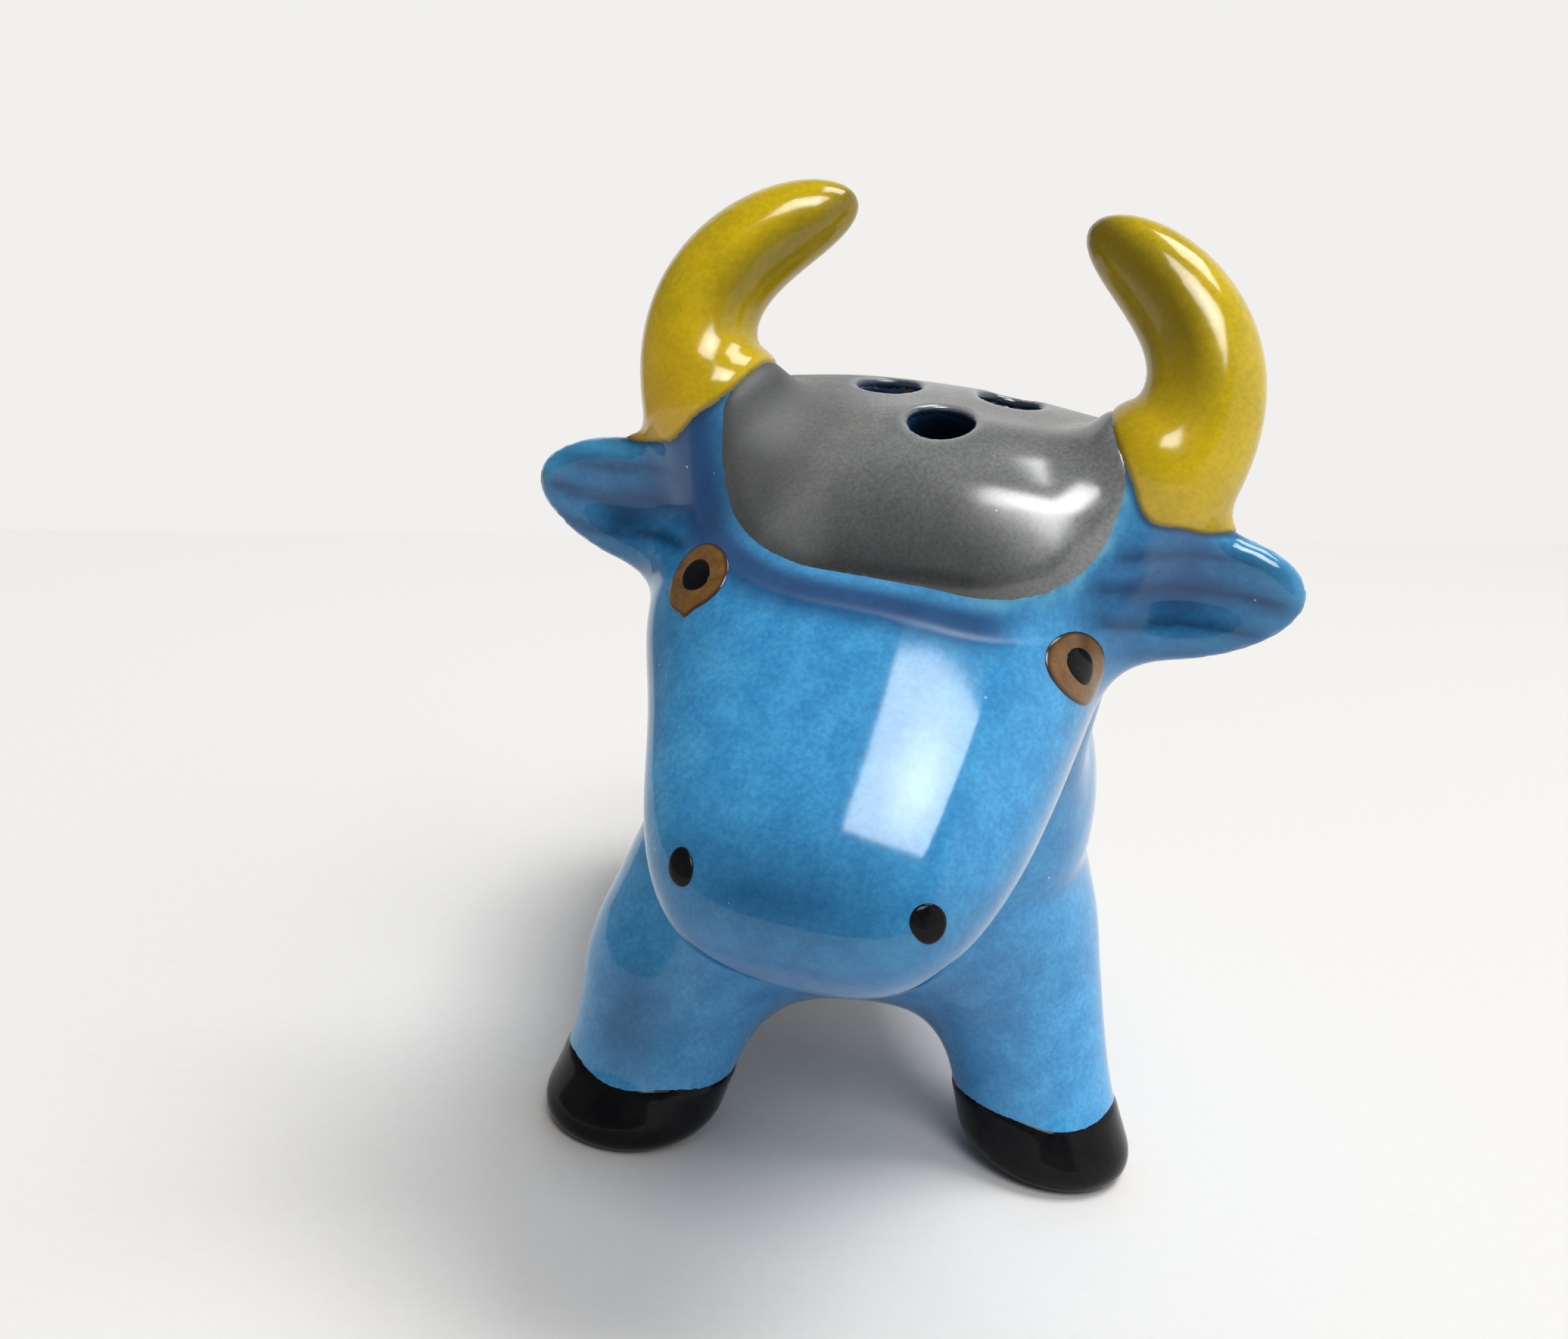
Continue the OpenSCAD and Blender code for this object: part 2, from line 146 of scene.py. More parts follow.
def rope(p, line, girth, margin=8.0):
    """Gap from a coil of clay of changing girth that follows a line of points."""
    gap = np.full(len(p), 2.0 * margin)
    low = (line - girth[:, None]).min(0) - margin
    high = (line + girth[:, None]).max(0) + margin
    near = ((p > low) & (p < high)).all(1)
    q = p[near]
    best = np.full(len(q), 2.0 * margin)
    for a, b, r, s in zip(line[:-1], line[1:], girth[:-1], girth[1:]):
        run = b - a
        t = np.clip((q - a) @ run / (run @ run), 0, 1)
        best = np.minimum(best, np.linalg.norm(q - a - t[:, None] * run, axis=1) - r - (s - r) * t)
    gap[near] = best
    return gap


def tail_line():
    turn = np.radians(np.linspace(TAIL_FROM, TUFT_TO, TAIL_STEPS))
    c, s = np.cos(turn), np.sin(turn)
    ease = 2 / BARREL_ENDS
    y = (BARREL_LONG + 0.5 * TAIL_R) * c**ease
    z = BARREL_Z + (BARREL_TALL + 0.5 * TAIL_R) * np.sign(s) * np.abs(s) ** ease
    down = np.linspace(0, 1, TAIL_STEPS)
    tuft = ramp(np.degrees(turn), TAIL_TO, TUFT_TO)
    girth = TAIL_R * np.sqrt(1 - 0.9 * (1 - down) ** 30)
    girth = girth * (1 + TUFT_SWELL * tuft) * np.sqrt(1 - 0.97 * tuft**4)
    return np.stack([np.zeros(TAIL_STEPS), y, z], 1), girth


TAIL_LINE, TAIL_GIRTH = tail_line()


# Head. Cast hollow in slip with its neck, broad across the brow and narrowing to a round muzzle. It is
# held down and turned a little to the bull's right. A flat, upright brow stands up under the forelock,
# and follows the forelock's outline.
HEAD_TURN = math.radians(16.5)
TURN_Y, HEAD_OUT, HEAD_Z = 25.0, 13.0, 41.9
HEAD_LONG = 23.5
BROW_WIDE, MUZZLE_WIDE = 18.5, 11.5
BROW_DEEP, MUZZLE_DEEP = 13.0, 6.3
MUZZLE_LIFT = 3.2
HEAD_SECTION, WIDE_ENDS = 2.4, 3.6
POLL_END, NOSE_END = 2.8, 3.4
RIGHT_BROW_FULL, BROW_FULL_AT, BROW_FULL_RUN = 1.8, -0.04, 0.3
BROW_MID, BROW_LEAN = np.array([0, -2.95, 18.0]), 31.0
BROW_CURVE, BROW_BOW, BROW_RUN, BROW_TURN = 0.018, 0.0125, 7.0, 0.05
CROWN_TOP, CROWN_LEAN, CROWN_CURVE = np.array([0, 7.5, 20.2]), 81.0, 0.004
BROW_SHIFT, BROW_SPREAD, BROW_BACK = 5.0, 0.9, 12.0
BROW_EDGE, PAD_EDGE, NAPE_EDGE = 3.4, 2.2, 3.0
CROWN_SHIFT = 0.9
DOWN_FACE = np.array([0, -1, -1]) / math.sqrt(2)
OFF_FACE = np.array([0, -1, 1]) / math.sqrt(2)
NECK_FOOT, NECK_TOP = np.array([0, 27.0, -15.15]), np.array([0, 6.0, 4.0])
NECK_R, NAPE_R = 13.5, 13.0


def into_head(p):
    """Points of the bull as the head has them: from its middle, and turned with it."""
    c, s = math.cos(HEAD_TURN), math.sin(HEAD_TURN)
    y = p[:, 1] + TURN_Y
    return np.stack([c * p[:, 0] - s * y, s * p[:, 0] + c * y + HEAD_OUT, p[:, 2] - HEAD_Z], 1)


def out_of_head(q):
    """Points of the head, back among the bull's own."""
    c, s = math.cos(HEAD_TURN), math.sin(HEAD_TURN)
    y = q[:, 1] - HEAD_OUT
    return np.stack([c * q[:, 0] + s * y, -s * q[:, 0] + c * y - TURN_Y, q[:, 2] + HEAD_Z], 1)


def head(q, grow=0.0):
    def form(r):
        u = (r @ DOWN_FACE) / (HEAD_LONG + grow)
        half = (1 + u) / 2
        full = RIGHT_BROW_FULL * (r[:, 0] < 0) * bell(u - BROW_FULL_AT, BROW_FULL_RUN)
        wide = np.maximum(BROW_WIDE + (MUZZLE_WIDE - BROW_WIDE) * half + full + grow, 2)
        deep = np.maximum(BROW_DEEP + (MUZZLE_DEEP - BROW_DEEP) * half + grow, 2)
        x = np.abs(r[:, 0] / wide) ** HEAD_SECTION + 1e-9
        n = np.abs((r @ OFF_FACE - MUZZLE_LIFT * half) / deep) ** HEAD_SECTION + 1e-9
        deep_ends = POLL_END + (NOSE_END - POLL_END) * (1 + np.tanh(4 * u)) / 2
        ends = (WIDE_ENDS * x + deep_ends * n) / (x + n)
        return ((x + n) ** (ends / HEAD_SECTION) + np.abs(u) ** ends) ** (1 / ends) - 1

    return gap_from(form, q)


PAD_WIDE, PAD_FRONT, PAD_BACK = 13.7, -1.8, -26.5
PAD_FRONT_CORNER, PAD_BACK_CORNER = 9.4, 8.0
PAD_LOW, PAD_LOW_FROM, PAD_LOW_TO, PAD_ASKEW = 0.5, -20.0, -8.0, 0.02


def pad_outline(q):
    """Distance outside the forelock's outline, seen square to the face."""
    w = q @ DOWN_FACE
    low = PAD_LOW + PAD_ASKEW * np.clip(q[:, 0], -12, 12)
    w = w - ramp(w, PAD_LOW_FROM, PAD_LOW_TO) * low
    mid = (PAD_FRONT + PAD_BACK) / 2
    corner = np.where(w > mid, PAD_FRONT_CORNER, PAD_BACK_CORNER)
    x = np.abs(q[:, 0] - CROWN_SHIFT) - PAD_WIDE + corner
    y = np.abs(w - mid) - (PAD_FRONT - PAD_BACK) / 2 + corner
    return np.hypot(np.maximum(x, 0), np.maximum(y, 0)) + np.minimum(np.maximum(x, y), 0) - corner


def forehead(q):
    """The upright flat of the brow, rounded over into the crown and at the temples."""
    x = q[:, 0] - BROW_SHIFT
    upright, level = math.radians(BROW_LEAN), math.radians(CROWN_LEAN)
    rise = (q - BROW_MID) @ np.array([0, math.sin(upright), math.cos(upright)])
    front = (q - BROW_MID) @ np.array([0, -math.cos(upright), math.sin(upright)])
    fall = np.where(x > 0, x * x, 2 * BROW_RUN**2 * (np.sqrt(1 + (x / BROW_RUN) ** 2) - 1))
    fall = fall + BROW_TURN * np.maximum(x, 0) ** 3
    front = front + BROW_CURVE * fall + BROW_BOW * rise * rise
    top = (q - CROWN_TOP) @ np.array([0, -math.cos(level), math.sin(level)])
    top = top + CROWN_CURVE * (q[:, 0] - CROWN_SHIFT) ** 2
    gap = round_both(front, top, BROW_EDGE)
    gap = round_both(gap, pad_outline(q) - BROW_SPREAD, PAD_EDGE)
    return round_both(gap, q[:, 1] - BROW_BACK, NAPE_EDGE)


def neck(q, grow=0.0):
    return rope(q, np.array([NECK_FOOT, NECK_TOP]), np.array([NECK_R + grow, NAPE_R + grow]), 12)


# Ears. Leaves of clay pressed hollow in front with a fingertip and luted under the horns, with a
# broad soft root.
EAR_ROOT, EAR_TIP = np.array([10.0, 3.0, 8.5]), np.array([27.3, 1.5, 11.1])
EAR_THICK, EAR_TALL = 2.5, 4.8
EAR_ALONG, EAR_HALF = 0.4, 0.6
CUP, CUP_EDGE = np.array([6.5, 3.0, 3.6]), 1.8
CUP_ALONG, CUP_SHIFT = 0.62, np.array([0.0, -3.7, -0.4])


def egg(q, mid, half):
    """Gap from an egg of three half sizes."""
    r = (q - mid) / half
    k = np.linalg.norm(r, axis=1)
    return k * (k - 1) / np.maximum(np.linalg.norm(r / half, axis=1), 1e-6)


def ear_cup(q, side):
    """Gap from the hollow pressed into the front of an ear."""
    m = q * np.array([side, 1, 1])
    return egg(m, EAR_ROOT + CUP_ALONG * (EAR_TIP - EAR_ROOT) + CUP_SHIFT, CUP)


def ear(q, side):
    m = q * np.array([side, 1, 1])
    run = EAR_TIP - EAR_ROOT
    reach = np.linalg.norm(run)
    run = run / reach
    tall = np.cross(run, [0, 1, 0])
    tall = tall / np.linalg.norm(tall)
    thick = np.cross(tall, run)
    local = (m - EAR_ROOT - EAR_ALONG * reach * run) @ np.stack([run, thick, tall], 1)
    leaf = egg(local, np.zeros(3), np.array([EAR_HALF * reach, EAR_THICK, EAR_TALL]))
    return soft_cut(leaf, ear_cup(q, side), CUP_EDGE)


# Horns. Solid rolls of clay, swelling out of the sides of the crown and curving up and in to a blunt
# tip. They carry a yellow glaze from the foot up, laid over the blue.
HORN_FOOT, HORN_OUT = np.array([15.5, 2.2, 17.5]), np.array([0.66, 0.0, 0.75])
HORN_BEND, HORN_TIP = np.array([19.6, 3.5, 27.9]), np.array([8.8, 5.5, 32.6])
HORN_SIDE = np.array([0.75, 0.0, -0.66])
DIP_LINES = {1: ((-1.8, -0.4), (-3.74, 0.82)), -1: ((-0.25, -0.1), (-3.36, 0.75))}
HORN_ROOT_R, HORN_MID_R, HORN_TIP_R = 5.2, 4.0, 3.2
HORN_RISE, HORN_STEPS = 4.5, 44
HORN_SUNK, HORN_THIN = np.array([10.0, 6.0, 3.0]), 0.045
DIP_REACH = 2.0


def horn_line(side):
    ends = [HORN_FOOT, HORN_FOOT + HORN_RISE * HORN_OUT, HORN_BEND, HORN_TIP]
    t = 0.995 * np.sin(np.linspace(0, math.pi / 2, HORN_STEPS))[:, None]
    curve = (1 - t) ** 3 * ends[0] + 3 * t * (1 - t) ** 2 * ends[1]
    curve = curve + 3 * t * t * (1 - t) * ends[2] + t**3 * ends[3]
    t = t[:, 0]
    girth = HORN_MID_R + (HORN_TIP_R - HORN_MID_R) * t + (HORN_ROOT_R - HORN_MID_R) * (1 - t) ** 4
    girth = girth * np.sqrt(1 - t**9)
    line = np.concatenate([HORN_FOOT - HORN_SUNK[:, None] * HORN_OUT, curve])
    girth = np.concatenate([HORN_ROOT_R - HORN_THIN * HORN_SUNK**2, girth])
    line = line * np.array([side, 1, 1]) + np.array([CROWN_SHIFT, 0, 0])
    return line, girth


HORN_LINES = {side: horn_line(side) for side in (-1, 1)}


def horn(q, side):
    return rope(q, *HORN_LINES[side])


def past_foot(q, side):
    """How far out along the horn a point is from the foot of the horn."""
    m = (q - np.array([CROWN_SHIFT, 0, 0])) * np.array([side, 1, 1])
    return (m - HORN_FOOT) @ HORN_OUT


def past_dip(q, side):
    """How far a point is inside the yellow glaze, which sags at the front of the foot."""
    m = (q - np.array([CROWN_SHIFT, 0, 0])) * np.array([side, 1, 1]) - HORN_FOOT
    out = m @ HORN_SIDE
    inner, outer = DIP_LINES[side]
    line = -soft_join(-inner[0] - inner[1] * out, -outer[0] - outer[1] * out, 1.5)
    ragged = 0.1 * np.sin(1.1 * q[:, 1] + 2 * side) + 0.08 * np.sin(1.9 * q[:, 0] + 1)
    return np.minimum((m @ HORN_OUT - line + ragged) * 0.85, DIP_REACH - horn(q, side))


# The cast body. Barrel, legs, tail, neck, head, ears and the feet of the horns fired as one hollow
# piece, bored in the crown and in the belly. Its mottled blue glaze runs thin over the swellings and
# pools dark in the hollows. Painted shade darkens its undersides, its inside, and places on the head and
# legs.
SET_DOWN = np.array([1.921, 10.571, 0.0])
MM = 0.001
BODY_GRID, BATCH = 0.6, 30000
LEG_JOIN, TAIL_JOIN, NECK_JOIN = 6.0, 1.2, 6.0
BROW_JOIN, EAR_JOIN, HORN_JOIN = 1.2, 4.0, 2.4
CHIN_JOIN, NAPE_JOIN, HOLLOW_JOIN = 0.6, 5.0, 2.0
HOLLOW_EDGE, FILL_EDGE, POUR_EDGE = 0.8, 0.5, 0.7
FILL_R, FILL_REACH, SEAT_R, SEAT_Z, BELLY_Z = 9.0, 8.0, 10.8, 12.0, 10.0
STUB, STUB_ROOM, SOLE_LIFT = 4.0, 2.5, 0.8
POUR_R, POUR_REACH = 2.2, 7.0
# Each pour hole: a point in the head that it goes through, and how many degrees it leans forward.
POURS = [(1.6, 1.55, 18.25, 46), (-3.4, 7.2, 20.2, 9), (5.3, 8.3, 20.2, 9)]


def shape(p):
    """Gap from the outside of the body, horns and all."""
    q = into_head(p)
    trunk = barrel(p)
    for _, side, end in LEGS:
        trunk = soft_join(trunk, leg(p, side, end), LEG_JOIN)
    trunk = soft_join(trunk, rope(p, TAIL_LINE, TAIL_GIRTH), TAIL_JOIN)
    trunk = soft_join(trunk, neck(q), NECK_JOIN)
    front = soft_join(head(q), forehead(q), BROW_JOIN)
    for side in (-1, 1):
        front = soft_join(front, ear(q, side), EAR_JOIN)
        front = soft_join(front, horn(q, side), HORN_JOIN)
    behind = ramp(q @ OFF_FACE, 2, -5)
    above = ramp(q @ DOWN_FACE, 9, 1)
    wider = behind**2 * (3 - 2 * behind) * above
    return soft_join(trunk, front, CHIN_JOIN + (NAPE_JOIN - CHIN_JOIN) * wider)


def pour_bores(q, grow=0.0):
    """Gap from the pour holes, made wider by a little where a coat has to clear them."""
    gap = np.full(len(q), 99.0)
    for x, y, z, lean in POURS:
        axis = np.array([0, -math.sin(math.radians(lean)), math.cos(math.radians(lean))])
        off = q - np.array([x, y, z])
        along = off @ axis
        bore = np.linalg.norm(off - along[:, None] * axis, axis=1) - POUR_R - grow
        gap = np.minimum(gap, np.maximum(bore, np.abs(along) - POUR_REACH))
    return gap


def clay(p):
    """Gap from the fired clay of the body, with its hollow and its bores."""
    q = into_head(p)
    out = np.hypot(p[:, 0], p[:, 1])
    behind_seat = np.minimum(SEAT_R + WALL - out, SEAT_Z + WALL - p[:, 2])
    inside = np.maximum(barrel(p, -WALL), behind_seat)
    inside = soft_join(inside, head(q, -WALL), HOLLOW_JOIN)
    inside = soft_join(inside, neck(q, -WALL), HOLLOW_JOIN)
    gap = soft_cut(shape(p), inside, HOLLOW_EDGE)
    gap = soft_cut(gap, np.maximum(out - FILL_R, np.abs(p[:, 2] - BELLY_Z) - FILL_REACH), FILL_EDGE)
    gap = soft_cut(gap, np.maximum(out - SEAT_R, p[:, 2] - SEAT_Z), FILL_EDGE)
    gap = soft_cut(gap, pour_bores(q), POUR_EDGE)
    for side in (-1, 1):
        gap = np.maximum(gap, -np.maximum(STUB - past_foot(q, side), horn(q, side) - STUB_ROOM))
    return np.maximum(gap, SOLE_LIFT - p[:, 2])


def in_batches(gap, p):
    """Gap at many points, a batch of them at a time."""
    return np.concatenate([gap(p[i : i + BATCH]) for i in range(0, len(p), BATCH)])


def slope(gap, p, feel=0.1):
    """Direction straight out of a form at each point."""
    up = np.zeros_like(p)
    for axis in range(3):
        step = np.zeros(3)
        step[axis] = feel
        up[:, axis] = in_batches(gap, p + step) - in_batches(gap, p - step)
    return up / np.maximum(np.linalg.norm(up, axis=1), 1e-12)[:, None]


CORNERS = np.array([(i, j, k) for i in (0, 1) for j in (0, 1) for k in (0, 1)])
CORNER_PAIRS = [(a, a | bit) for bit in (1, 2, 4) for a in range(8) if not a & bit]


def cast(gap, low, high, grid, soften=2):
    """Closed mesh of quads over a form: points, faces and the directions out of it."""
    block, reach = 4, 1.4
    middle = (block - 1) / (2 * block)
    low, high = np.array(low, float), np.array(high, float)
    count = (np.ceil((high - low) / grid / block).astype(int) + 1) * block
    mid = [low[i] + grid * block * (np.arange(count[i] // block) + middle) for i in range(3)]
    coarse = np.stack(np.meshgrid(*mid, indexing="ij"), -1).reshape(-1, 3)
    far = in_batches(gap, coarse).reshape(count // block)
    value = np.where(far > 0, 9.0, -9.0)
    near = np.abs(far) < grid * block * reach
    for axis in range(3):
        value = np.repeat(value, block, axis)
        near = np.repeat(near, block, axis)
    where = np.nonzero(near)
    value[where] = in_batches(gap, low + grid * np.stack(where, 1))
    inside = value < 0
    cells = tuple(n - 1 for n in count)
    full = np.zeros(cells, np.int8)
    for i, j, k in CORNERS:
        full += inside[i : i + cells[0], j : j + cells[1], k : k + cells[2]]
    at = np.stack(np.nonzero((full > 0) & (full < 8)), 1)
    number = np.full(cells, -1)
    number[tuple(at.T)] = np.arange(len(at))
    v = np.stack([value[tuple((at + c).T)] for c in CORNERS], 1)
    total, hits = np.zeros((len(at), 3)), np.zeros(len(at))
    for a, b in CORNER_PAIRS:
        cross = (v[:, a] < 0) != (v[:, b] < 0)
        t = np.where(cross, v[:, a] / np.where(cross, v[:, a] - v[:, b], 1), 0)
        total += np.where(cross[:, None], CORNERS[a] + t[:, None] * (CORNERS[b] - CORNERS[a]), 0)
        hits += cross
    points = low + grid * (at + total / hits[:, None])
    faces = []
    for axis in range(3):
        one, two = (axis + 1) % 3, (axis + 2) % 3
        ahead = np.roll(inside, -1, axis)
        flip = inside != ahead
        edge = np.stack(np.nonzero(flip), 1)
        edge = edge[(edge >= 1).all(1) & (edge < np.array(cells)).all(1)]
        ring = []
        for da, db in ((-1, -1), (0, -1), (0, 0), (-1, 0)):
            cell = edge.copy()
            cell[:, one] += da
            cell[:, two] += db
            ring.append(number[tuple(cell.T)])
        quad = np.stack(ring, 1)
        outward = inside[tuple(edge.T)]
        faces.append(np.where(outward[:, None], quad, quad[:, ::-1]))
    faces = np.concatenate(faces)
    away = slope(gap, points)
    for _ in range(3):
        points = points - np.clip(in_batches(gap, points), -grid / 2, grid / 2)[:, None] * away
    away = slope(gap, points)
    away = np.stack([spread(away[:, axis], faces, soften) for axis in range(3)], 1)
    return points, faces, away / np.linalg.norm(away, axis=1)[:, None]


def spread(values, faces, rounds):
    """Evens out a value over a mesh."""
    ends = np.concatenate([faces[:, [i, (i + 1) % 4]] for i in range(4)])
    count = np.bincount(ends[:, 0], minlength=len(values)) + np.bincount(ends[:, 1], minlength=len(values))
    for _ in range(rounds):
        around = np.bincount(ends[:, 0], values[ends[:, 1]], len(values))
        around += np.bincount(ends[:, 1], values[ends[:, 0]], len(values))
        values = 0.5 * values + 0.5 * around / np.maximum(count, 1)
    return values


def hollows(points, faces, away, rounds):
    """How hollow a surface is at each point, below zero where it swells, per millimetre."""
    ends = np.concatenate([faces[:, [i, (i + 1) % 4]] for i in range(4)])
    run = points[ends[:, 1]] - points[ends[:, 0]]
    bend = ((away[ends[:, 1]] - away[ends[:, 0]]) * run).sum(1) / np.maximum((run * run).sum(1), 1e-9)
    bend = np.clip(bend, -2, 2)
    total = np.bincount(ends[:, 0], bend, len(points)) + np.bincount(ends[:, 1], bend, len(points))
    count = np.bincount(ends[:, 0], minlength=len(points)) + np.bincount(ends[:, 1], minlength=len(points))
    return spread(-total / np.maximum(count, 1), faces, rounds)


def lay_piece(name, points, faces, away, finish, body, nodes, marks=None):
    """Puts a finished piece on its body: its mesh, its finish, and the nodes that it stands for."""
    mesh = bpy.data.meshes.new(name)
    mesh.from_pydata(((points + SET_DOWN) * MM).tolist(), [], [list(f) for f in faces])
    for mark, values in (marks or {}).items():
        mesh.attributes.new(mark, "FLOAT", "POINT").data.foreach_set("value", values.astype(np.float32))
    mesh.shade_smooth()
    if away is not None:
        mesh.normals_split_custom_set_from_vertices(away.tolist())
    mesh.materials.append(finish)
    piece = bpy.data.objects.new(name, mesh)
    bpy.context.scene.collection.objects.link(piece)
    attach(piece, body)
    if nodes:
        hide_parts(*nodes)


def add(tree, kind, inputs=None, **settings):
    """A node in a material or group, with its values set and its links made."""
    made = tree.nodes.new(kind)
    for key, value in settings.items():
        setattr(made, key, value)
    for key, value in (inputs or {}).items():
        if isinstance(value, bpy.types.NodeSocket):
            tree.links.new(value, made.inputs[key])
        else:
            made.inputs[key].default_value = value
    return made


def mix(tree, share, first, second, how="MIX"):
    """A colour between two others."""
    made = tree.nodes.new("ShaderNodeMix")
    made.data_type = "RGBA"
    made.blend_type = how
    for socket, value in zip((made.inputs[0], made.inputs[6], made.inputs[7]), (share, first, second)):
        if isinstance(value, bpy.types.NodeSocket):
            tree.links.new(value, socket)
        else:
            socket.default_value = value
    return made.outputs[2]


def between(tree, value, low, high, out_low=0.0, out_high=1.0):
    """A value taken from one range to another, and kept inside it."""
    inputs = {0: value, 1: low, 2: high, 3: out_low, 4: out_high}
    return add(tree, "ShaderNodeMapRange", inputs, interpolation_type="SMOOTHSTEP").outputs[0]


def times(tree, first, second):
    """Two values multiplied."""
    return add(tree, "ShaderNodeMath", {0: first, 1: second}, operation="MULTIPLY").outputs[0]


def grey(tree, value):
    """A grey as bright as a value."""
    return add(tree, "ShaderNodeCombineColor", {0: value, 1: value, 2: value}).outputs[0]


def glaze_flow():
    """Group: how a glaze flows and breaks up: clouds, fine grain, pinholes and a rippled surface."""
    tree = bpy.data.node_groups.new("glaze_flow", "ShaderNodeTree")
    for socket in ("Cloud Scale", "Grain Scale"):
        tree.interface.new_socket(socket, in_out="INPUT", socket_type="NodeSocketFloat")
    for socket in ("Cloud", "Grain", "Pinholes", "Ripple"):
        tree.interface.new_socket(socket, in_out="OUTPUT", socket_type="NodeSocketFloat")
    start = tree.nodes.new("NodeGroupInput")
    place = add(tree, "ShaderNodeTexCoord").outputs["Object"]
    noise = {"Vector": place, "Scale": start.outputs["Cloud Scale"], "Detail": 4.0, "Roughness": 0.62}
    cloud = add(tree, "ShaderNodeTexNoise", noise).outputs[0]
    noise = {"Vector": place, "Scale": start.outputs["Grain Scale"], "Detail": 3.0, "Roughness": 0.7}
    grain = add(tree, "ShaderNodeTexNoise", noise).outputs[0]
    dots = add(tree, "ShaderNodeTexVoronoi", {"Vector": place, "Scale": 260.0}).outputs["Distance"]
    ripple = add(tree, "ShaderNodeTexNoise", {"Vector": place, "Scale": 190.0, "Detail": 1.0}).outputs[0]
    end = tree.nodes.new("NodeGroupOutput")
    tree.links.new(between(tree, cloud, 0.3, 0.7), end.inputs["Cloud"])
    tree.links.new(between(tree, grain, 0.25, 0.75), end.inputs["Grain"])
    tree.links.new(between(tree, dots, 0.015, 0.03, 1.0, 0.0), end.inputs["Pinholes"])
    tree.links.new(ripple, end.inputs["Ripple"])
    return tree


GLAZE_FLOW = glaze_flow()
GLOSS, GLAZE_IOR = 0.08, 1.5


def fired(name):
    """A fresh glazed finish: its node tree, its shader, and the flow of its glaze."""
    finish = bpy.data.materials.new(name)
    finish.use_nodes = True
    tree = finish.node_tree
    shader = tree.nodes["Principled BSDF"]
    shader.inputs["IOR"].default_value = GLAZE_IOR
    shader.inputs["Roughness"].default_value = GLOSS
    flow = tree.nodes.new("ShaderNodeGroup")
    flow.node_tree = GLAZE_FLOW
    flow.inputs["Cloud Scale"].default_value = 420.0
    flow.inputs["Grain Scale"].default_value = 2600.0
    ripple = {"Height": flow.outputs["Ripple"], "Strength": 0.05, "Distance": 0.0004}
    tree.links.new(add(tree, "ShaderNodeBump", ripple).outputs[0], shader.inputs["Normal"])
    return finish, tree, shader, flow


def mark(tree, name):
    """A value that the piece's mesh carries at each point."""
    return add(tree, "ShaderNodeAttribute", attribute_name=name).outputs["Fac"]


BLUE, BLUE_CLOUD = (0.042, 0.29, 0.62, 1), (0.068, 0.38, 0.73, 1)
BLUE_THIN, BLUE_TEAL = (0.10, 0.44, 0.70, 1), (0.12, 0.42, 0.62, 1)
POOLED, POOLED_CLOUD = (0.012, 0.075, 0.23, 1), (0.022, 0.11, 0.31, 1)
BLUE_POOL_AND_SHADE, BLUE_DEEPEST_SHADE = (0.001, 0.048, 0.150, 1), (0.0, 0.015, 0.050, 1)
BLUE_LINE, BLUE_INSIDE_SHADE = (0.010, 0.035, 0.09, 1), (0.012, 0.035, 0.085, 1)
BLUE_PIN = (0.5, 0.62, 0.75, 1)
CREASE = 0.95


def blue_glaze():
    finish, tree, shader, flow = fired("blue_glaze")
    body = mix(tree, flow.outputs["Cloud"], BLUE, BLUE_CLOUD)
    grain = between(tree, flow.outputs["Grain"], 0.0, 1.0, 0.86, 1.12)
    body = mix(tree, 1.0, body, grey(tree, grain), "MULTIPLY")
    thin = between(tree, mark(tree, "pool"), -0.10, -0.24)
    body = mix(tree, times(tree, thin, 0.4), body, BLUE_THIN)
    pooled = mix(tree, flow.outputs["Cloud"], POOLED, POOLED_CLOUD)
    body = mix(tree, between(tree, mark(tree, "pool"), 0.0, 0.24), body, pooled)
    # Painted shade: the blue darkened where the shade mark lies, and darkest where it is strongest.
    body = mix(tree, mark(tree, "shade"), body, BLUE_POOL_AND_SHADE)
    body = mix(tree, between(tree, mark(tree, "shade"), 0.6, 1.0), body, BLUE_DEEPEST_SHADE)
    # Painted shade: surfaces that face down are darkened towards the pooled blue.
    body = mix(tree, times(tree, mark(tree, "under"), 0.75), body, pooled)
    below = mark(tree, "below_pad")
    band = times(tree, between(tree, below, 0.0, 1.4), between(tree, below, 4.6, 2.0))
    band = times(tree, band, between(tree, mark(tree, "side"), 11.0, 7.0))
    body = mix(tree, band, body, mix(tree, 0.5, pooled, BLUE_POOL_AND_SHADE))
    dull = times(tree, between(tree, below, -0.4, 0.2), between(tree, below, 3.2, 1.6))
    tree.links.new(between(tree, dull, 0.0, 1.0, GLOSS, CREASE), shader.inputs["Roughness"])
    ends = between(tree, mark(tree, "side"), 2.0, 8.0)
    thin = times(tree, between(tree, below, 0.9, 0.1), times(tree, ends, flow.outputs["Cloud"]))
    body = mix(tree, thin, body, BLUE_TEAL)
    dip = mark(tree, "dip")
    line = times(tree, between(tree, dip, -0.5, -0.05), between(tree, dip, 0.6, 0.1))
    body = mix(tree, times(tree, line, 0.7), body, BLUE_LINE)
    body = mix(tree, flow.outputs["Pinholes"], body, BLUE_PIN)
    # Painted shade inside the hollow and the pour bores.
    body = mix(tree, mark(tree, "inside"), body, BLUE_INSIDE_SHADE)
    tree.links.new(body, shader.inputs["Base Color"])
    return finish
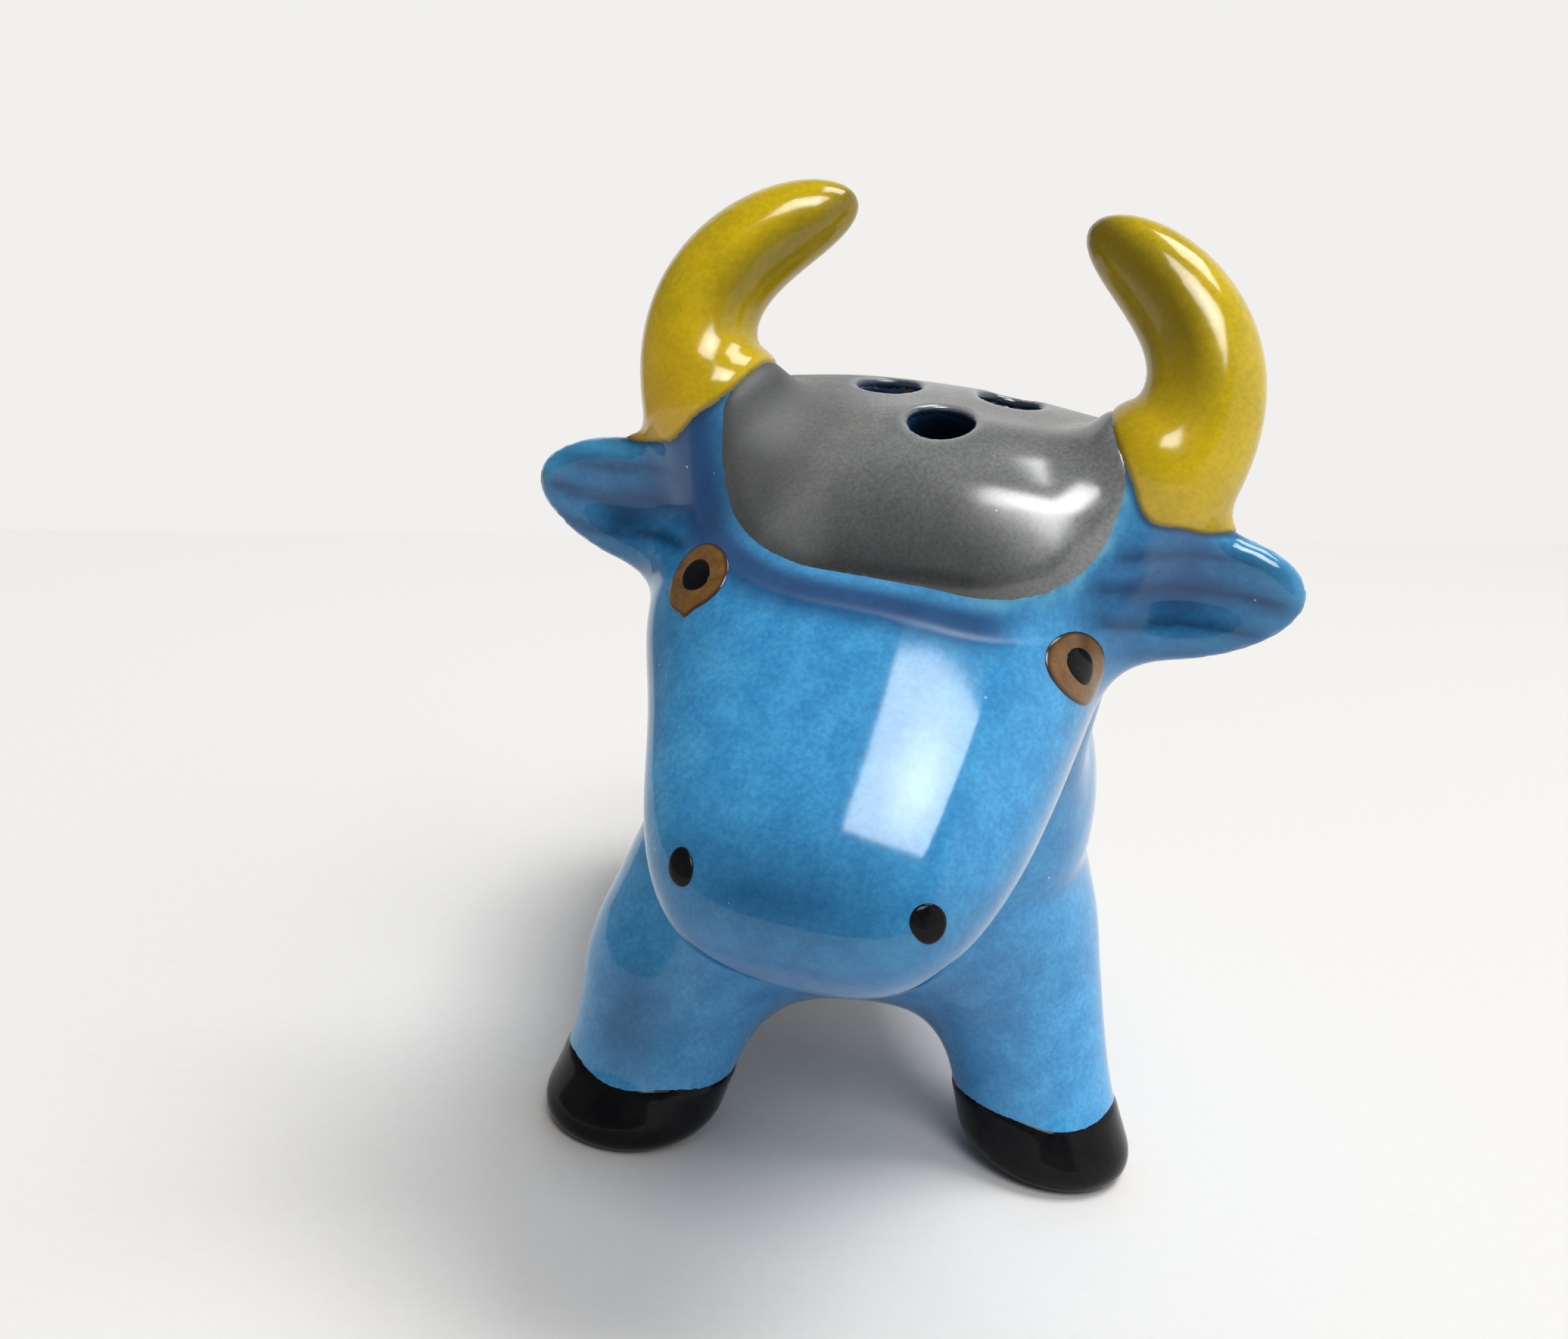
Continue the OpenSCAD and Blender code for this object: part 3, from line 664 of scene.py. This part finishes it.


# Painted shade, and on the leg a painted dark reflection: the middle of each place in the head's own frame,
# its reach and its depth.
PAINTED_SHADE_SPOTS = [
    ((-14.5, -2, 13), (7, 7, 7), 0.75),
    ((-20.5, -1, 9), (4, 5, 3.5), 1.0),
    ((-13, -6, 1), (4, 5, 8), 0.4),
    ((20, -1, 9), (4, 4, 3), 0.95),
    ((-1, -19, -9.2), (10, 5, 4), 0.75),
    ((-15.9, 2, -31.0), (3.2, 5, 5.4), 0.6),
]
POOL_ROUNDS = 14
CUP_SHADE, CUP_IN, CUP_OUT = 0.8, 0.44, 2.64


def nodes_box(names, margin):
    """Box round some CAD nodes, in millimetres from the middle of the barrel."""
    corners = np.array([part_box(name) for name in names]) / MM - SET_DOWN
    return corners[:, 0].min(0) - margin, corners[:, 1].max(0) + margin


BODY_NODES = ["torso", "head", "ear_left", "ear_right", "tail"]
BODY_NODES += ["leg_" + where for where, _, _ in LEGS]
points, faces, away = cast(clay, *nodes_box(BODY_NODES, 3.0), BODY_GRID)
in_head = into_head(points)
pool = hollows(points, faces, away, POOL_ROUNDS)
below_pad = np.where(in_head @ OFF_FACE > 3, np.clip(pad_outline(in_head), -2, 9), 9.0)
dip = np.maximum(past_dip(in_head, -1), past_dip(in_head, 1))
# Painted shade mark for the inside of the hollow and of the pour bores.
inside = ramp(in_batches(shape, points), -0.25, -0.75)
inside = np.maximum(inside, ramp(pour_bores(in_head), 1 / 2, 1 / 6))
# Painted shade mark: soft spots on the head and the leg, then the hollows of the ears.
shade = np.zeros(len(points))
for spot, width, depth in PAINTED_SHADE_SPOTS:
    off = (in_head - np.array(spot)) / np.array(width)
    shade = np.maximum(shade, depth * bell(np.linalg.norm(off, axis=1), 1))
# Painted shade in the hollow of each ear, broken into streaks.
streak = 0.72 + 0.28 * np.sin(2.6 * in_head[:, 2] + 0.8 * np.sin(0.5 * in_head[:, 0]))
for side in (-1, 1):
    shade = np.maximum(shade, CUP_SHADE * streak * ramp(ear_cup(in_head, side), CUP_OUT, CUP_IN))
marks = {"pool": pool, "below_pad": below_pad, "dip": np.clip(dip, -4, 4), "inside": inside}
# The under mark is painted shade on surfaces that face down.
marks.update(side=in_head[:, 0], shade=shade, under=np.clip(0.25 - away[:, 2], 0, 1))
lay_piece("blue_body", points, faces, away, blue_glaze(), "bull", BODY_NODES, marks)


# Forelock. A pad of thicker slip over the crown between the horns, under grey glaze, with the three
# pour holes bored through it and their rims softened by the glaze.
PAD_T, PAD_EASE, PAD_UNDER = 0.25, 1.0, 0.6
PAD_GRID, PAD_BORE, PAD_BORE_EDGE = 0.34, 0.05, 0.6
PAD_LOWEST, PAD_ROUND = 4.0, 0.8
HORN_ROOM, HORN_ROUND, RUN_OUT = 0.05, 0.6, 0.9
GREY_IOR, GREY_GLOSS, GREY_DULL = 1.75, 0.2, 0.65
GREY, GREY_CLOUD = (0.190, 0.196, 0.202, 1), (0.225, 0.231, 0.237, 1)
GREY_PAINTED_SHADE, GREY_RIM_HIGHLIGHT, GREY_PIN = (0.034, 0.037, 0.040, 1), (0.36, 0.37, 0.38, 1), (0.42, 0.42, 0.43, 1)


def coat(skin, inside, thick, ease):
    """A coat over a skin: it swells up inside its line, and past the line it runs out under the skin."""
    short = 1 - ramp(inside, 0, ease)
    over = thick * (1 - short * short) + np.minimum(inside, 0)
    return np.maximum(skin - over, -inside - RUN_OUT)


def forelock(p):
    q = into_head(p)
    skin = shape(p)
    inside = round_both(pad_outline(q), PAD_LOWEST - q @ OFF_FACE, PAD_ROUND)
    for side in (-1, 1):
        inside = round_both(inside, past_dip(q, side) - HORN_ROOM, HORN_ROUND)
    gap = coat(skin, -inside, PAD_T, PAD_EASE)
    gap = soft_cut(gap, pour_bores(q, PAD_BORE), PAD_BORE_EDGE)
    return np.maximum(gap, -skin - PAD_UNDER)


def grey_glaze():
    finish, tree, shader, flow = fired("grey_glaze")
    shader.inputs["IOR"].default_value = GREY_IOR
    gloss = between(tree, mark(tree, "dull"), 0.0, 1.0, GREY_GLOSS, GREY_DULL)
    tree.links.new(gloss, shader.inputs["Roughness"])
    flow.inputs["Grain Scale"].default_value = 3600.0
    body = mix(tree, flow.outputs["Cloud"], GREY, GREY_CLOUD)
    # Painted shade: the pad darker towards its lower edge and over the bull's right side.
    body = mix(tree, mark(tree, "pad_shade"), body, GREY_PAINTED_SHADE)
    grain = between(tree, flow.outputs["Grain"], 0.0, 1.0, 0.82, 1.18)
    body = mix(tree, 1.0, body, grey(tree, grain), "MULTIPLY")
    # Painted highlight: a paler ring round the rim of each bore.
    rim = between(tree, mark(tree, "bore"), 1.1, 0.1)
    body = mix(tree, times(tree, rim, 0.5), body, GREY_RIM_HIGHLIGHT)
    # Painted shade inside each bore through the pad.
    body = mix(tree, between(tree, mark(tree, "bore"), 0.45, 0.05), body, BLUE_INSIDE_SHADE)
    body = mix(tree, flow.outputs["Pinholes"], body, GREY_PIN)
    tree.links.new(body, shader.inputs["Base Color"])
    return finish


points, faces, away = cast(forelock, *nodes_box(["forelock"], 2.5), PAD_GRID)
in_head = into_head(points)
to_left, back = in_head[:, 0], in_head[:, 1]
# Painted shade mark for the pad: towards its lower edge, and over the bull's right side.
pad_shade = ramp(in_head @ DOWN_FACE, -10, -2) * np.maximum(ramp(to_left, 16, 6), 0.4)
pad_shade = np.maximum(pad_shade, 0.95 * ramp(to_left, -3, -9) * ramp(back, 9, 1))
dull = ramp(to_left, -2, -7)
marks = {"bore": np.clip(pour_bores(in_head), -3, 5), "pad_shade": pad_shade, "dull": dull}
lay_piece("grey_forelock", points, faces, away, grey_glaze(), "bull", ["forelock"], marks)


# Horn glaze. A coat of yellow over each horn from its foot to its tip, mustard where it is thick at
# the foot, painted shade turning it olive on the inner side, and a fine dark line where it meets the blue.
GLAZE_T, GLAZE_EASE = 0.14, 0.5
HORN_GRID, HORN_SOFTEN = 0.42, 5
HORN_SHADE, INNER_SHADE_RISE, INNER_SHADE_DEPTH = {1: 0.2, -1: 0.4}, 1.8, 0.8
LEFT_THICK, THICK_AT, THICK_RISE = 0.15, 17.0, 0.12
YELLOW, YELLOW_CLOUD = (0.53, 0.385, 0.003, 1), (0.67, 0.48, 0.004, 1)
YELLOW_PAINTED_SHADE, MUSTARD = (0.10, 0.072, 0.003, 1), (0.62, 0.33, 0.02, 1)
YELLOW_EDGE, YELLOW_PIN = (0.12, 0.09, 0.012, 1), (0.75, 0.62, 0.2, 1)


def horn_coat(side):
    def gap(p):
        return coat(shape(p), past_dip(into_head(p), side), GLAZE_T, GLAZE_EASE)

    return gap


def yellow_glaze():
    finish, tree, shader, flow = fired("yellow_glaze")
    shader.inputs["Roughness"].default_value = 0.14
    flow.inputs["Cloud Scale"].default_value = 260.0
    body = mix(tree, flow.outputs["Cloud"], YELLOW, YELLOW_CLOUD)
    grain = between(tree, flow.outputs["Grain"], 0.0, 1.0, 0.9, 1.08)
    body = mix(tree, 1.0, body, grey(tree, grain), "MULTIPLY")
    # Painted shade: olive on the side of the horn that faces the other horn and down.
    body = mix(tree, mark(tree, "inner"), body, YELLOW_PAINTED_SHADE)
    foot = times(tree, between(tree, mark(tree, "up"), 9.0, 0.0), mark(tree, "thick"))
    body = mix(tree, foot, body, MUSTARD)
    edge = between(tree, mark(tree, "dip"), 0.45, 0.05)
    body = mix(tree, times(tree, edge, 0.75), body, YELLOW_EDGE)
    body = mix(tree, flow.outputs["Pinholes"], body, YELLOW_PIN)
    tree.links.new(body, shader.inputs["Base Color"])
    return finish


yellow = yellow_glaze()
for where, side in (("left", 1), ("right", -1)):
    node = "horn_" + where
    points, faces, away = cast(horn_coat(side), *nodes_box([node], 3.0), HORN_GRID, HORN_SOFTEN)
    in_head = into_head(points)
    thick = np.full(len(points), LEFT_THICK)
    if side < 0:
        thick = np.clip(0.5 + THICK_RISE * (in_head[:, 0] * side - THICK_AT), 0.1, 1)
    up = past_foot(in_head, side)
    # Painted shade mark: the side facing the other horn and down, deeper on the bull's right horn, from a
    # little above the foot.
    inner = np.clip(INNER_SHADE_RISE * (away @ np.array([-0.95 * side, 0, -0.3])) + HORN_SHADE[side], 0, 1)
    inner = INNER_SHADE_DEPTH * inner * ramp(up, 2, 7)
    marks = {"up": up, "dip": past_dip(in_head, side), "thick": thick, "inner": inner}
    lay_piece("yellow_" + node, points, faces, away, yellow, "bull", [node], marks)


# Hooves and tail tuft. Each hoof was dipped in black glaze to a wavy line a little way up the leg, and
# its sole wiped flat. The tuft was brushed with the same black.
HOOF_GRID, TUFT_GRID = 0.45, 0.4
TUFT_SIDE, TUFT_UNDER = 0.35, 1.5
BLACK_SHINE = 0.12
BLACK, BLACK_CLOUD, BLACK_PIN = (0.004, 0.004, 0.006, 1), (0.009, 0.009, 0.010, 1), (0.06, 0.055, 0.06, 1)


def hoof_coat(side, end):
    def gap(p):
        line = HOOF_H + 0.2 * np.sin(0.7 * p[:, 0] + end) + 0.15 * np.sin(0.9 * p[:, 1] + 2)
        foot = coat(leg_roll(p, side, end), line - p[:, 2], GLAZE_T, GLAZE_EASE)
        return round_both(foot, -p[:, 2], SOLE_EDGE)

    return gap


def tuft_coat(p):
    skin = shape(p)
    line = TAIL_LINE[np.argmax(TAIL_GIRTH > TAIL_R * 1.05), 2] + 0.2 * np.sin(3 * p[:, 0])
    inside = np.minimum(line - p[:, 2], TUFT_SIDE - rope(p, TAIL_LINE, TAIL_GIRTH))
    return np.maximum(coat(skin, inside, GLAZE_T, GLAZE_EASE), -skin - TUFT_UNDER)


def black_glaze():
    finish, tree, shader, flow = fired("black_glaze")
    shader.inputs["Specular IOR Level"].default_value = BLACK_SHINE
    body = mix(tree, flow.outputs["Cloud"], BLACK, BLACK_CLOUD)
    body = mix(tree, flow.outputs["Pinholes"], body, BLACK_PIN)
    tree.links.new(body, shader.inputs["Base Color"])
    return finish


black = black_glaze()
for where, side, end in LEGS:
    node = "hoof_" + where
    points, faces, away = cast(hoof_coat(side, end), *nodes_box([node], 2.0), HOOF_GRID)
    lay_piece("black_" + node, points, faces, away, black, "bull", [node])
points, faces, away = cast(tuft_coat, *nodes_box(["tail_tuft"], 2.0), TUFT_GRID)
lay_piece("black_tuft", points, faces, away, black, "bull", ["tail_tuft"])


# Eyes. An oval dab of brown glaze on each side of the brow with a darker rim, set on by brush, and a
# black dab in the middle of it. The right eye runs down to a small point.
DAB_T, DAB_PRESS, DAB_SUNK, DAB_FROM = 0.22, 0.02, 0.3, 12.0
DAB_SPOKES, DAB_RINGS = 56, 16
BROWN, BROWN_CLOUD = (0.16, 0.075, 0.018, 1), (0.27, 0.125, 0.03, 1)
BROWN_GRAIN, BROWN_EDGE = (0.05, 0.025, 0.01, 1), (0.045, 0.028, 0.02, 1)


def dab(name, x, w, wide, long, tilt, under, thick, outline, finish, slot):
    """A brushed dab of glaze on the face at x to the side and w down the face."""
    start = np.array([[x, 0, 0]]) + w * DOWN_FACE + DAB_FROM * OFF_FACE
    spot = out_of_head(start)
    inward = out_of_head(np.array([[0, 0, 0]]) - OFF_FACE[None]) - out_of_head(np.zeros((1, 3)))
    for _ in range(30):
        spot = spot + inward * (shape(spot) - under)[:, None]
    out = slope(shape, spot)[0]
    down = (out_of_head(DOWN_FACE[None]) - out_of_head(np.zeros((1, 3))))[0]
    down = down - (down @ out) * out
    down = down / np.linalg.norm(down)
    across = np.cross(down, out)
    c, s = math.cos(math.radians(tilt)), math.sin(math.radians(tilt))
    across, down = c * across + s * down, c * down - s * across
    spokes, rings = DAB_SPOKES, DAB_RINGS
    turn = np.linspace(0, 2 * math.pi, spokes, endpoint=False)
    share = np.sin(np.linspace(0, math.pi / 2, rings + 1))[1:]
    reach = outline(turn)[None, :, None] * share[:, None, None]
    flat = across * (wide / 2 * np.cos(turn))[:, None] + down * (long / 2 * np.sin(turn))[:, None]
    seat = np.concatenate([spot, (spot + reach * flat).reshape(-1, 3)])
    for _ in range(6):
        seat = seat - np.outer(shape(seat) - under, out)
    away = slope(shape, seat)
    rise = np.concatenate([[0], np.repeat(share, spokes)])
    top = seat + away * (thick * np.sqrt(np.maximum(1 - rise**5, 0)) - DAB_PRESS)[:, None]
    inner = len(seat) - spokes
    low = seat[:inner] - DAB_SUNK * away[:inner]
    points = np.concatenate([top, low])
    faces = []
    for base, flip in ((0, False), (len(top), True)):
        for i in range(spokes):
            j = (i + 1) % spokes
            rows = [[base, base + 1 + i, base + 1 + j]]
            for ring in range(rings - 1 - flip):
                a = base + 1 + ring * spokes
                rows.append([a + i, a + spokes + i, a + spokes + j, a + j])
            faces += [row[::-1] for row in rows] if flip else rows
    edge, under_edge = 1 + (rings - 1) * spokes, len(top) + 1 + (rings - 2) * spokes
    for i in range(spokes):
        j = (i + 1) % spokes
        faces.append([edge + i, under_edge + i, under_edge + j, edge + j])
    up = np.concatenate([rise, rise[:inner]])
    lay_piece(slot.replace("glaze", name), points, faces, None, finish, "bull", [name], {"edge": up})


def brown_glaze():
    finish, tree, shader, flow = fired("brown_glaze")
    shader.inputs["Roughness"].default_value = 0.15
    flow.inputs["Cloud Scale"].default_value = 900.0
    flow.inputs["Grain Scale"].default_value = 4200.0
    body = mix(tree, flow.outputs["Cloud"], BROWN, BROWN_CLOUD)
    body = mix(tree, flow.outputs["Grain"], mix(tree, 0.3, body, BROWN_GRAIN), body)
    edge = between(tree, mark(tree, "edge"), 0.86, 0.97)
    body = mix(tree, edge, body, BROWN_EDGE)
    tree.links.new(body, shader.inputs["Base Color"])
    return finish


def oval_outline(turn):
    return 1 + 0.03 * np.sin(2 * turn + 0.6) + 0.025 * np.sin(3 * turn)


def drop_outline(turn):
    off = np.angle(np.exp(1j * (turn - 1.1)))
    return oval_outline(turn) + 0.15 * bell(off, 0.17)


def pupil_outline(turn):
    return 1 + 0.07 * np.sin(2 * turn + 2.2) + 0.02 * np.sin(3 * turn + 1)


# Each eye: how far to the side and down the face, its width, length and tilt in degrees, its outline.
EYES = [
    ("left", 13.9, -0.5, 6.6, 4.9, 16, oval_outline),
    ("right", -12.4, -0.6, 5.0, 5.6, 22, drop_outline),
]
brown = brown_glaze()
for where, x, w, wide, long, tilt, outline in EYES:
    dab("eye_" + where, x, w, wide, long, tilt, 0.0, DAB_T, outline, brown, "brown_glaze")
    pupil = (x, w, 0.44 * wide, 0.5 * long, tilt, DAB_T - DAB_PRESS, DAB_T * 0.5)
    dab("pupil_" + where, *pupil, pupil_outline, black, "black_glaze")


# Nostrils. Two round dabs of black glaze, brushed on at the end of the muzzle like the pupils. The
# right one is narrower.
NOSTRIL_DOWN = 19.4
# Each nostril: how far to the side, its width and its length.
NOSTRILS = [("left", 8.1, 2.4, 2.5), ("right", -7.5, 1.9, 2.6)]
for where, x, wide, long in NOSTRILS:
    dab("nostril_" + where, x, NOSTRIL_DOWN, wide, long, 0, 0.0, DAB_T, pupil_outline, black, "black_glaze")


# Stopper. Moulded in pale rubber: a flange that sits in the seat round the fill hole, a hollow plug
# with two sealing ribs, and a bar across the hollow to pull it out by.
FLANGE_R, FLANGE_Z = 10.5, 10.0
PLUG_R, PLUG_TOP = 8.94, 18.0
HOLLOW_R, HOLLOW_TOP = 7.34, 16.0
RIB, RIBS_AT, PLUG_BEVEL_Z = 0.22, (13.1, 14.9), 16.6
BAR_HALF, BAR_LIFT, BAR_SUNK = 1.0, 0.3, 0.4
RUBBER, RUBBER_CLOUD = (0.55, 0.53, 0.48, 1), (0.66, 0.64, 0.59, 1)


def rounded(corners, steps=5):
    """Outline through corners given as x, y and a radius each."""
    path = []
    spots = [np.array(c[:2], float) for c in corners]
    for i, (_, _, r) in enumerate(corners):
        here = spots[i]
        if r == 0:
            path.append(here)
            continue
        to = [spots[i - 1] - here, spots[(i + 1) % len(spots)] - here]
        to = [v / np.linalg.norm(v) for v in to]
        half = math.acos(np.clip(to[0] @ to[1], -1, 1)) / 2
        mid = here + (to[0] + to[1]) / np.linalg.norm(to[0] + to[1]) * r / math.sin(half)
        first, last = (here + v * r / math.tan(half) - mid for v in to)
        for t in np.linspace(0, 1, steps + 1):
            arm = first * (1 - t) + last * t
            path.append(mid + arm / np.linalg.norm(arm) * r)
    return np.array(path)


def turned(path, steps=112):
    """Mesh of an outline turned round the upright axis. The outline starts and ends on the axis."""
    angle = np.linspace(0, 2 * math.pi, steps, endpoint=False)
    ring = path[1:-1]
    points = np.stack([np.outer(ring[:, 0], np.cos(angle)), np.outer(ring[:, 0], np.sin(angle))], -1)
    points = np.concatenate([points, np.repeat(ring[:, 1][:, None, None], steps, 1)], -1).reshape(-1, 3)
    points = np.concatenate([points, [[0, 0, path[0][1]], [0, 0, path[-1][1]]]])
    faces = []
    last = (len(ring) - 1) * steps
    for i in range(steps):
        j = (i + 1) % steps
        faces.append([len(points) - 2, j, i])
        faces.append([len(points) - 1, last + i, last + j])
        for a in range(0, last, steps):
            faces.append([a + i, a + j, a + steps + j, a + steps + i])
    return points, faces


def pale_rubber():
    finish = bpy.data.materials.new("pale_rubber")
    finish.use_nodes = True
    tree = finish.node_tree
    shader = tree.nodes["Principled BSDF"]
    place = add(tree, "ShaderNodeTexCoord").outputs["Object"]
    cloud = add(tree, "ShaderNodeTexNoise", {"Vector": place, "Scale": 350.0, "Detail": 3.0}).outputs[0]
    grain = add(tree, "ShaderNodeTexNoise", {"Vector": place, "Scale": 5000.0, "Detail": 2.0}).outputs[0]
    body = mix(tree, between(tree, cloud, 0.35, 0.65), RUBBER, RUBBER_CLOUD)
    tree.links.new(body, shader.inputs["Base Color"])
    tree.links.new(between(tree, cloud, 0.3, 0.7, 0.45, 0.6), shader.inputs["Roughness"])
    bump = add(tree, "ShaderNodeBump", {"Height": grain, "Strength": 0.15, "Distance": 0.0001})
    tree.links.new(bump.outputs[0], shader.inputs["Normal"])
    return finish


rubber = pale_rubber()
plug = [(0, HOLLOW_TOP, 0), (HOLLOW_R, HOLLOW_TOP, 1.0), (HOLLOW_R, FLANGE_Z, 0.35)]
plug += [(FLANGE_R, FLANGE_Z, 0.6), (FLANGE_R, SEAT_Z, 0.3), (PLUG_R - RIB, SEAT_Z, 0.0)]
for low in RIBS_AT:
    plug += [(PLUG_R - RIB, low, 0.1), (PLUG_R, low + 0.35, 0.15)]
    plug += [(PLUG_R, low + 0.75, 0.15), (PLUG_R - RIB, low + 1.1, 0.1)]
plug += [(PLUG_R - RIB, PLUG_BEVEL_Z, 0.4), (PLUG_R - 1, PLUG_TOP, 0.5), (0, PLUG_TOP, 0)]
points, faces = turned(rounded(plug))
lay_piece("rubber_stopper", points, faces, None, rubber, "stopper", ["stopper"])

grip = [(-BAR_HALF, HOLLOW_TOP + BAR_SUNK, 0), (-BAR_HALF, FLANGE_Z + BAR_LIFT, 0.7)]
grip += [(BAR_HALF, FLANGE_Z + BAR_LIFT, 0.7), (BAR_HALF, HOLLOW_TOP + BAR_SUNK, 0)]
section = rounded(grip)
reach = HOLLOW_R + BAR_SUNK
points = np.array([[x, y, z] for y in (-reach, reach) for x, z in section])
n = len(section)
faces = [[i, (i + 1) % n, n + (i + 1) % n, n + i] for i in range(n)]
faces += [list(range(n))[::-1], list(range(n, 2 * n))]
lay_piece("rubber_bar", points, faces, None, rubber, "stopper", [])


# Table. A white board that the bull stands on. A window in front and above and a soft box high on its
# left light it. The room has a white wall behind it and to its left, and is dim elsewhere. Sizes of
# the board and the lights are in metres.
BOARD_PALE, BOARD_PALER = (0.85, 0.832, 0.808, 1), (0.89, 0.872, 0.848, 1)
DIM, WALL_WHITE, WALL_WAY = (0.16, 0.158, 0.15, 1), (0.88, 0.87, 0.855, 1), (0.8, 0.6, 0)
WINDOW = {"az": 8.0, "el": 53.0, "wide": 1.35, "tall": 0.90, "roll": -23.0}
GLARE_AT = (0.55, 0.5, 0)
BOARD = [(-0.158, 0.184), (0.378, 0.539), (0.9, 0.2), (0.5, -0.6), (-0.5, -0.6), (-0.9, -0.3)]


def white_board():
    finish = bpy.data.materials.new("white_board")
    finish.use_nodes = True
    tree = finish.node_tree
    shader = tree.nodes["Principled BSDF"]
    shader.inputs["Roughness"].default_value = 0.6
    place = add(tree, "ShaderNodeTexCoord").outputs["Object"]
    grain = add(tree, "ShaderNodeTexNoise", {"Vector": place, "Scale": 900.0}).outputs[0]
    body = mix(tree, grain, BOARD_PALE, BOARD_PALER)
    tree.links.new(body, shader.inputs["Base Color"])
    return finish


mesh = bpy.data.meshes.new("white_table")
mesh.from_pydata([(x, y, 0) for x, y in BOARD], [], [tuple(range(len(BOARD)))[::-1]])
mesh.materials.append(white_board())
table = bpy.data.objects.new("white_table", mesh)
bpy.context.scene.collection.objects.link(table)


def soft_box(name, az, el, away, wide, tall, roll, watts):
    """An oblong light, az degrees round from the front toward the bull's left and el degrees up."""
    light = bpy.data.lights.new(name, "AREA")
    light.shape = "RECTANGLE"
    light.size, light.size_y = wide, tall
    light.energy = watts
    az, el, roll = math.radians(az), math.radians(el), math.radians(roll)
    out = Vector((math.sin(az) * math.cos(el), -math.cos(az) * math.cos(el), math.sin(el)))
    across = Vector((math.cos(az), math.sin(az), 0))
    upright = out.cross(across)
    turn = Matrix((across, upright, out)).transposed() @ Matrix.Rotation(roll, 3, "Z")
    lamp = bpy.data.objects.new(name, light)
    lamp.matrix_world = Matrix.Translation(out * away) @ turn.to_4x4()
    bpy.context.scene.collection.objects.link(lamp)
    return lamp


soft_box("window", away=2.2, watts=18.0, **WINDOW)
soft_box("soft_box", az=98.0, el=70.0, away=2.2, wide=0.95, tall=0.95, roll=0.0, watts=26.0)
glare = soft_box("window_glare", away=2.19, watts=12.0, **WINDOW)
glare.visible_diffuse = False
glare.data.use_nodes = True
tree = glare.data.node_tree
pane = add(tree, "ShaderNodeNewGeometry").outputs["Parametric"]
off = add(tree, "ShaderNodeVectorMath", {0: pane, 1: GLARE_AT}, operation="DISTANCE").outputs["Value"]
tree.links.new(between(tree, off, 0.5, 0.0, 1.7, 4.0), tree.nodes["Emission"].inputs["Strength"])

room = bpy.data.worlds.new("white_room")
bpy.context.scene.world = room
room.use_nodes = True
tree = room.node_tree
toward = add(tree, "ShaderNodeTexCoord").outputs["Generated"]
height = add(tree, "ShaderNodeSeparateXYZ", {0: toward}).outputs[2]
beside = add(tree, "ShaderNodeVectorMath", {0: toward, 1: WALL_WAY}, operation="DOT_PRODUCT")
beside = beside.outputs["Value"]
wall = times(tree, between(tree, beside, -0.08, 0.1), between(tree, height, 0.85, 0.5))
low = between(tree, height, 0.2, 0.1, 0.0, 0.15)
white = add(tree, "ShaderNodeMath", {0: wall, 1: low}, operation="MAXIMUM").outputs[0]
light = mix(tree, white, DIM, WALL_WHITE)
tree.links.new(light, tree.nodes["Background"].inputs["Color"])


# Camera. Close in front of the bull and a little above its crown, looking slightly down, and rolled a
# few degrees, so that the bull leans in the picture.
LENS, FILM_WIDE, NEAREST = 34.749, 36.0, 5.0
CAMERA_AT, CAMERA_AZ, CAMERA_EL, CAMERA_ROLL = (-15.49, -130.09, 68.38), -3.9, 14.1, 7.5
view = bpy.data.cameras.new("camera")
view.sensor_width = FILM_WIDE
view.lens = LENS
view.clip_start = NEAREST * MM
camera = bpy.data.objects.new("camera", view)
az, el, roll = (math.radians(v) for v in (CAMERA_AZ, CAMERA_EL, CAMERA_ROLL))
back = Vector((math.sin(az) * math.cos(el), -math.cos(az) * math.cos(el), math.sin(el)))
right = (-back).cross(Vector((0, 0, 1))).normalized()
up = right.cross(-back)
level = Matrix((right, up, back)).transposed()
turn = level @ Matrix.Rotation(roll, 3, "Z")
camera.matrix_world = Matrix.Translation(Vector(CAMERA_AT) * MM) @ turn.to_4x4()
bpy.context.scene.collection.objects.link(camera)
bpy.context.scene.camera = camera
bpy.context.scene.view_settings.view_transform = "Standard"
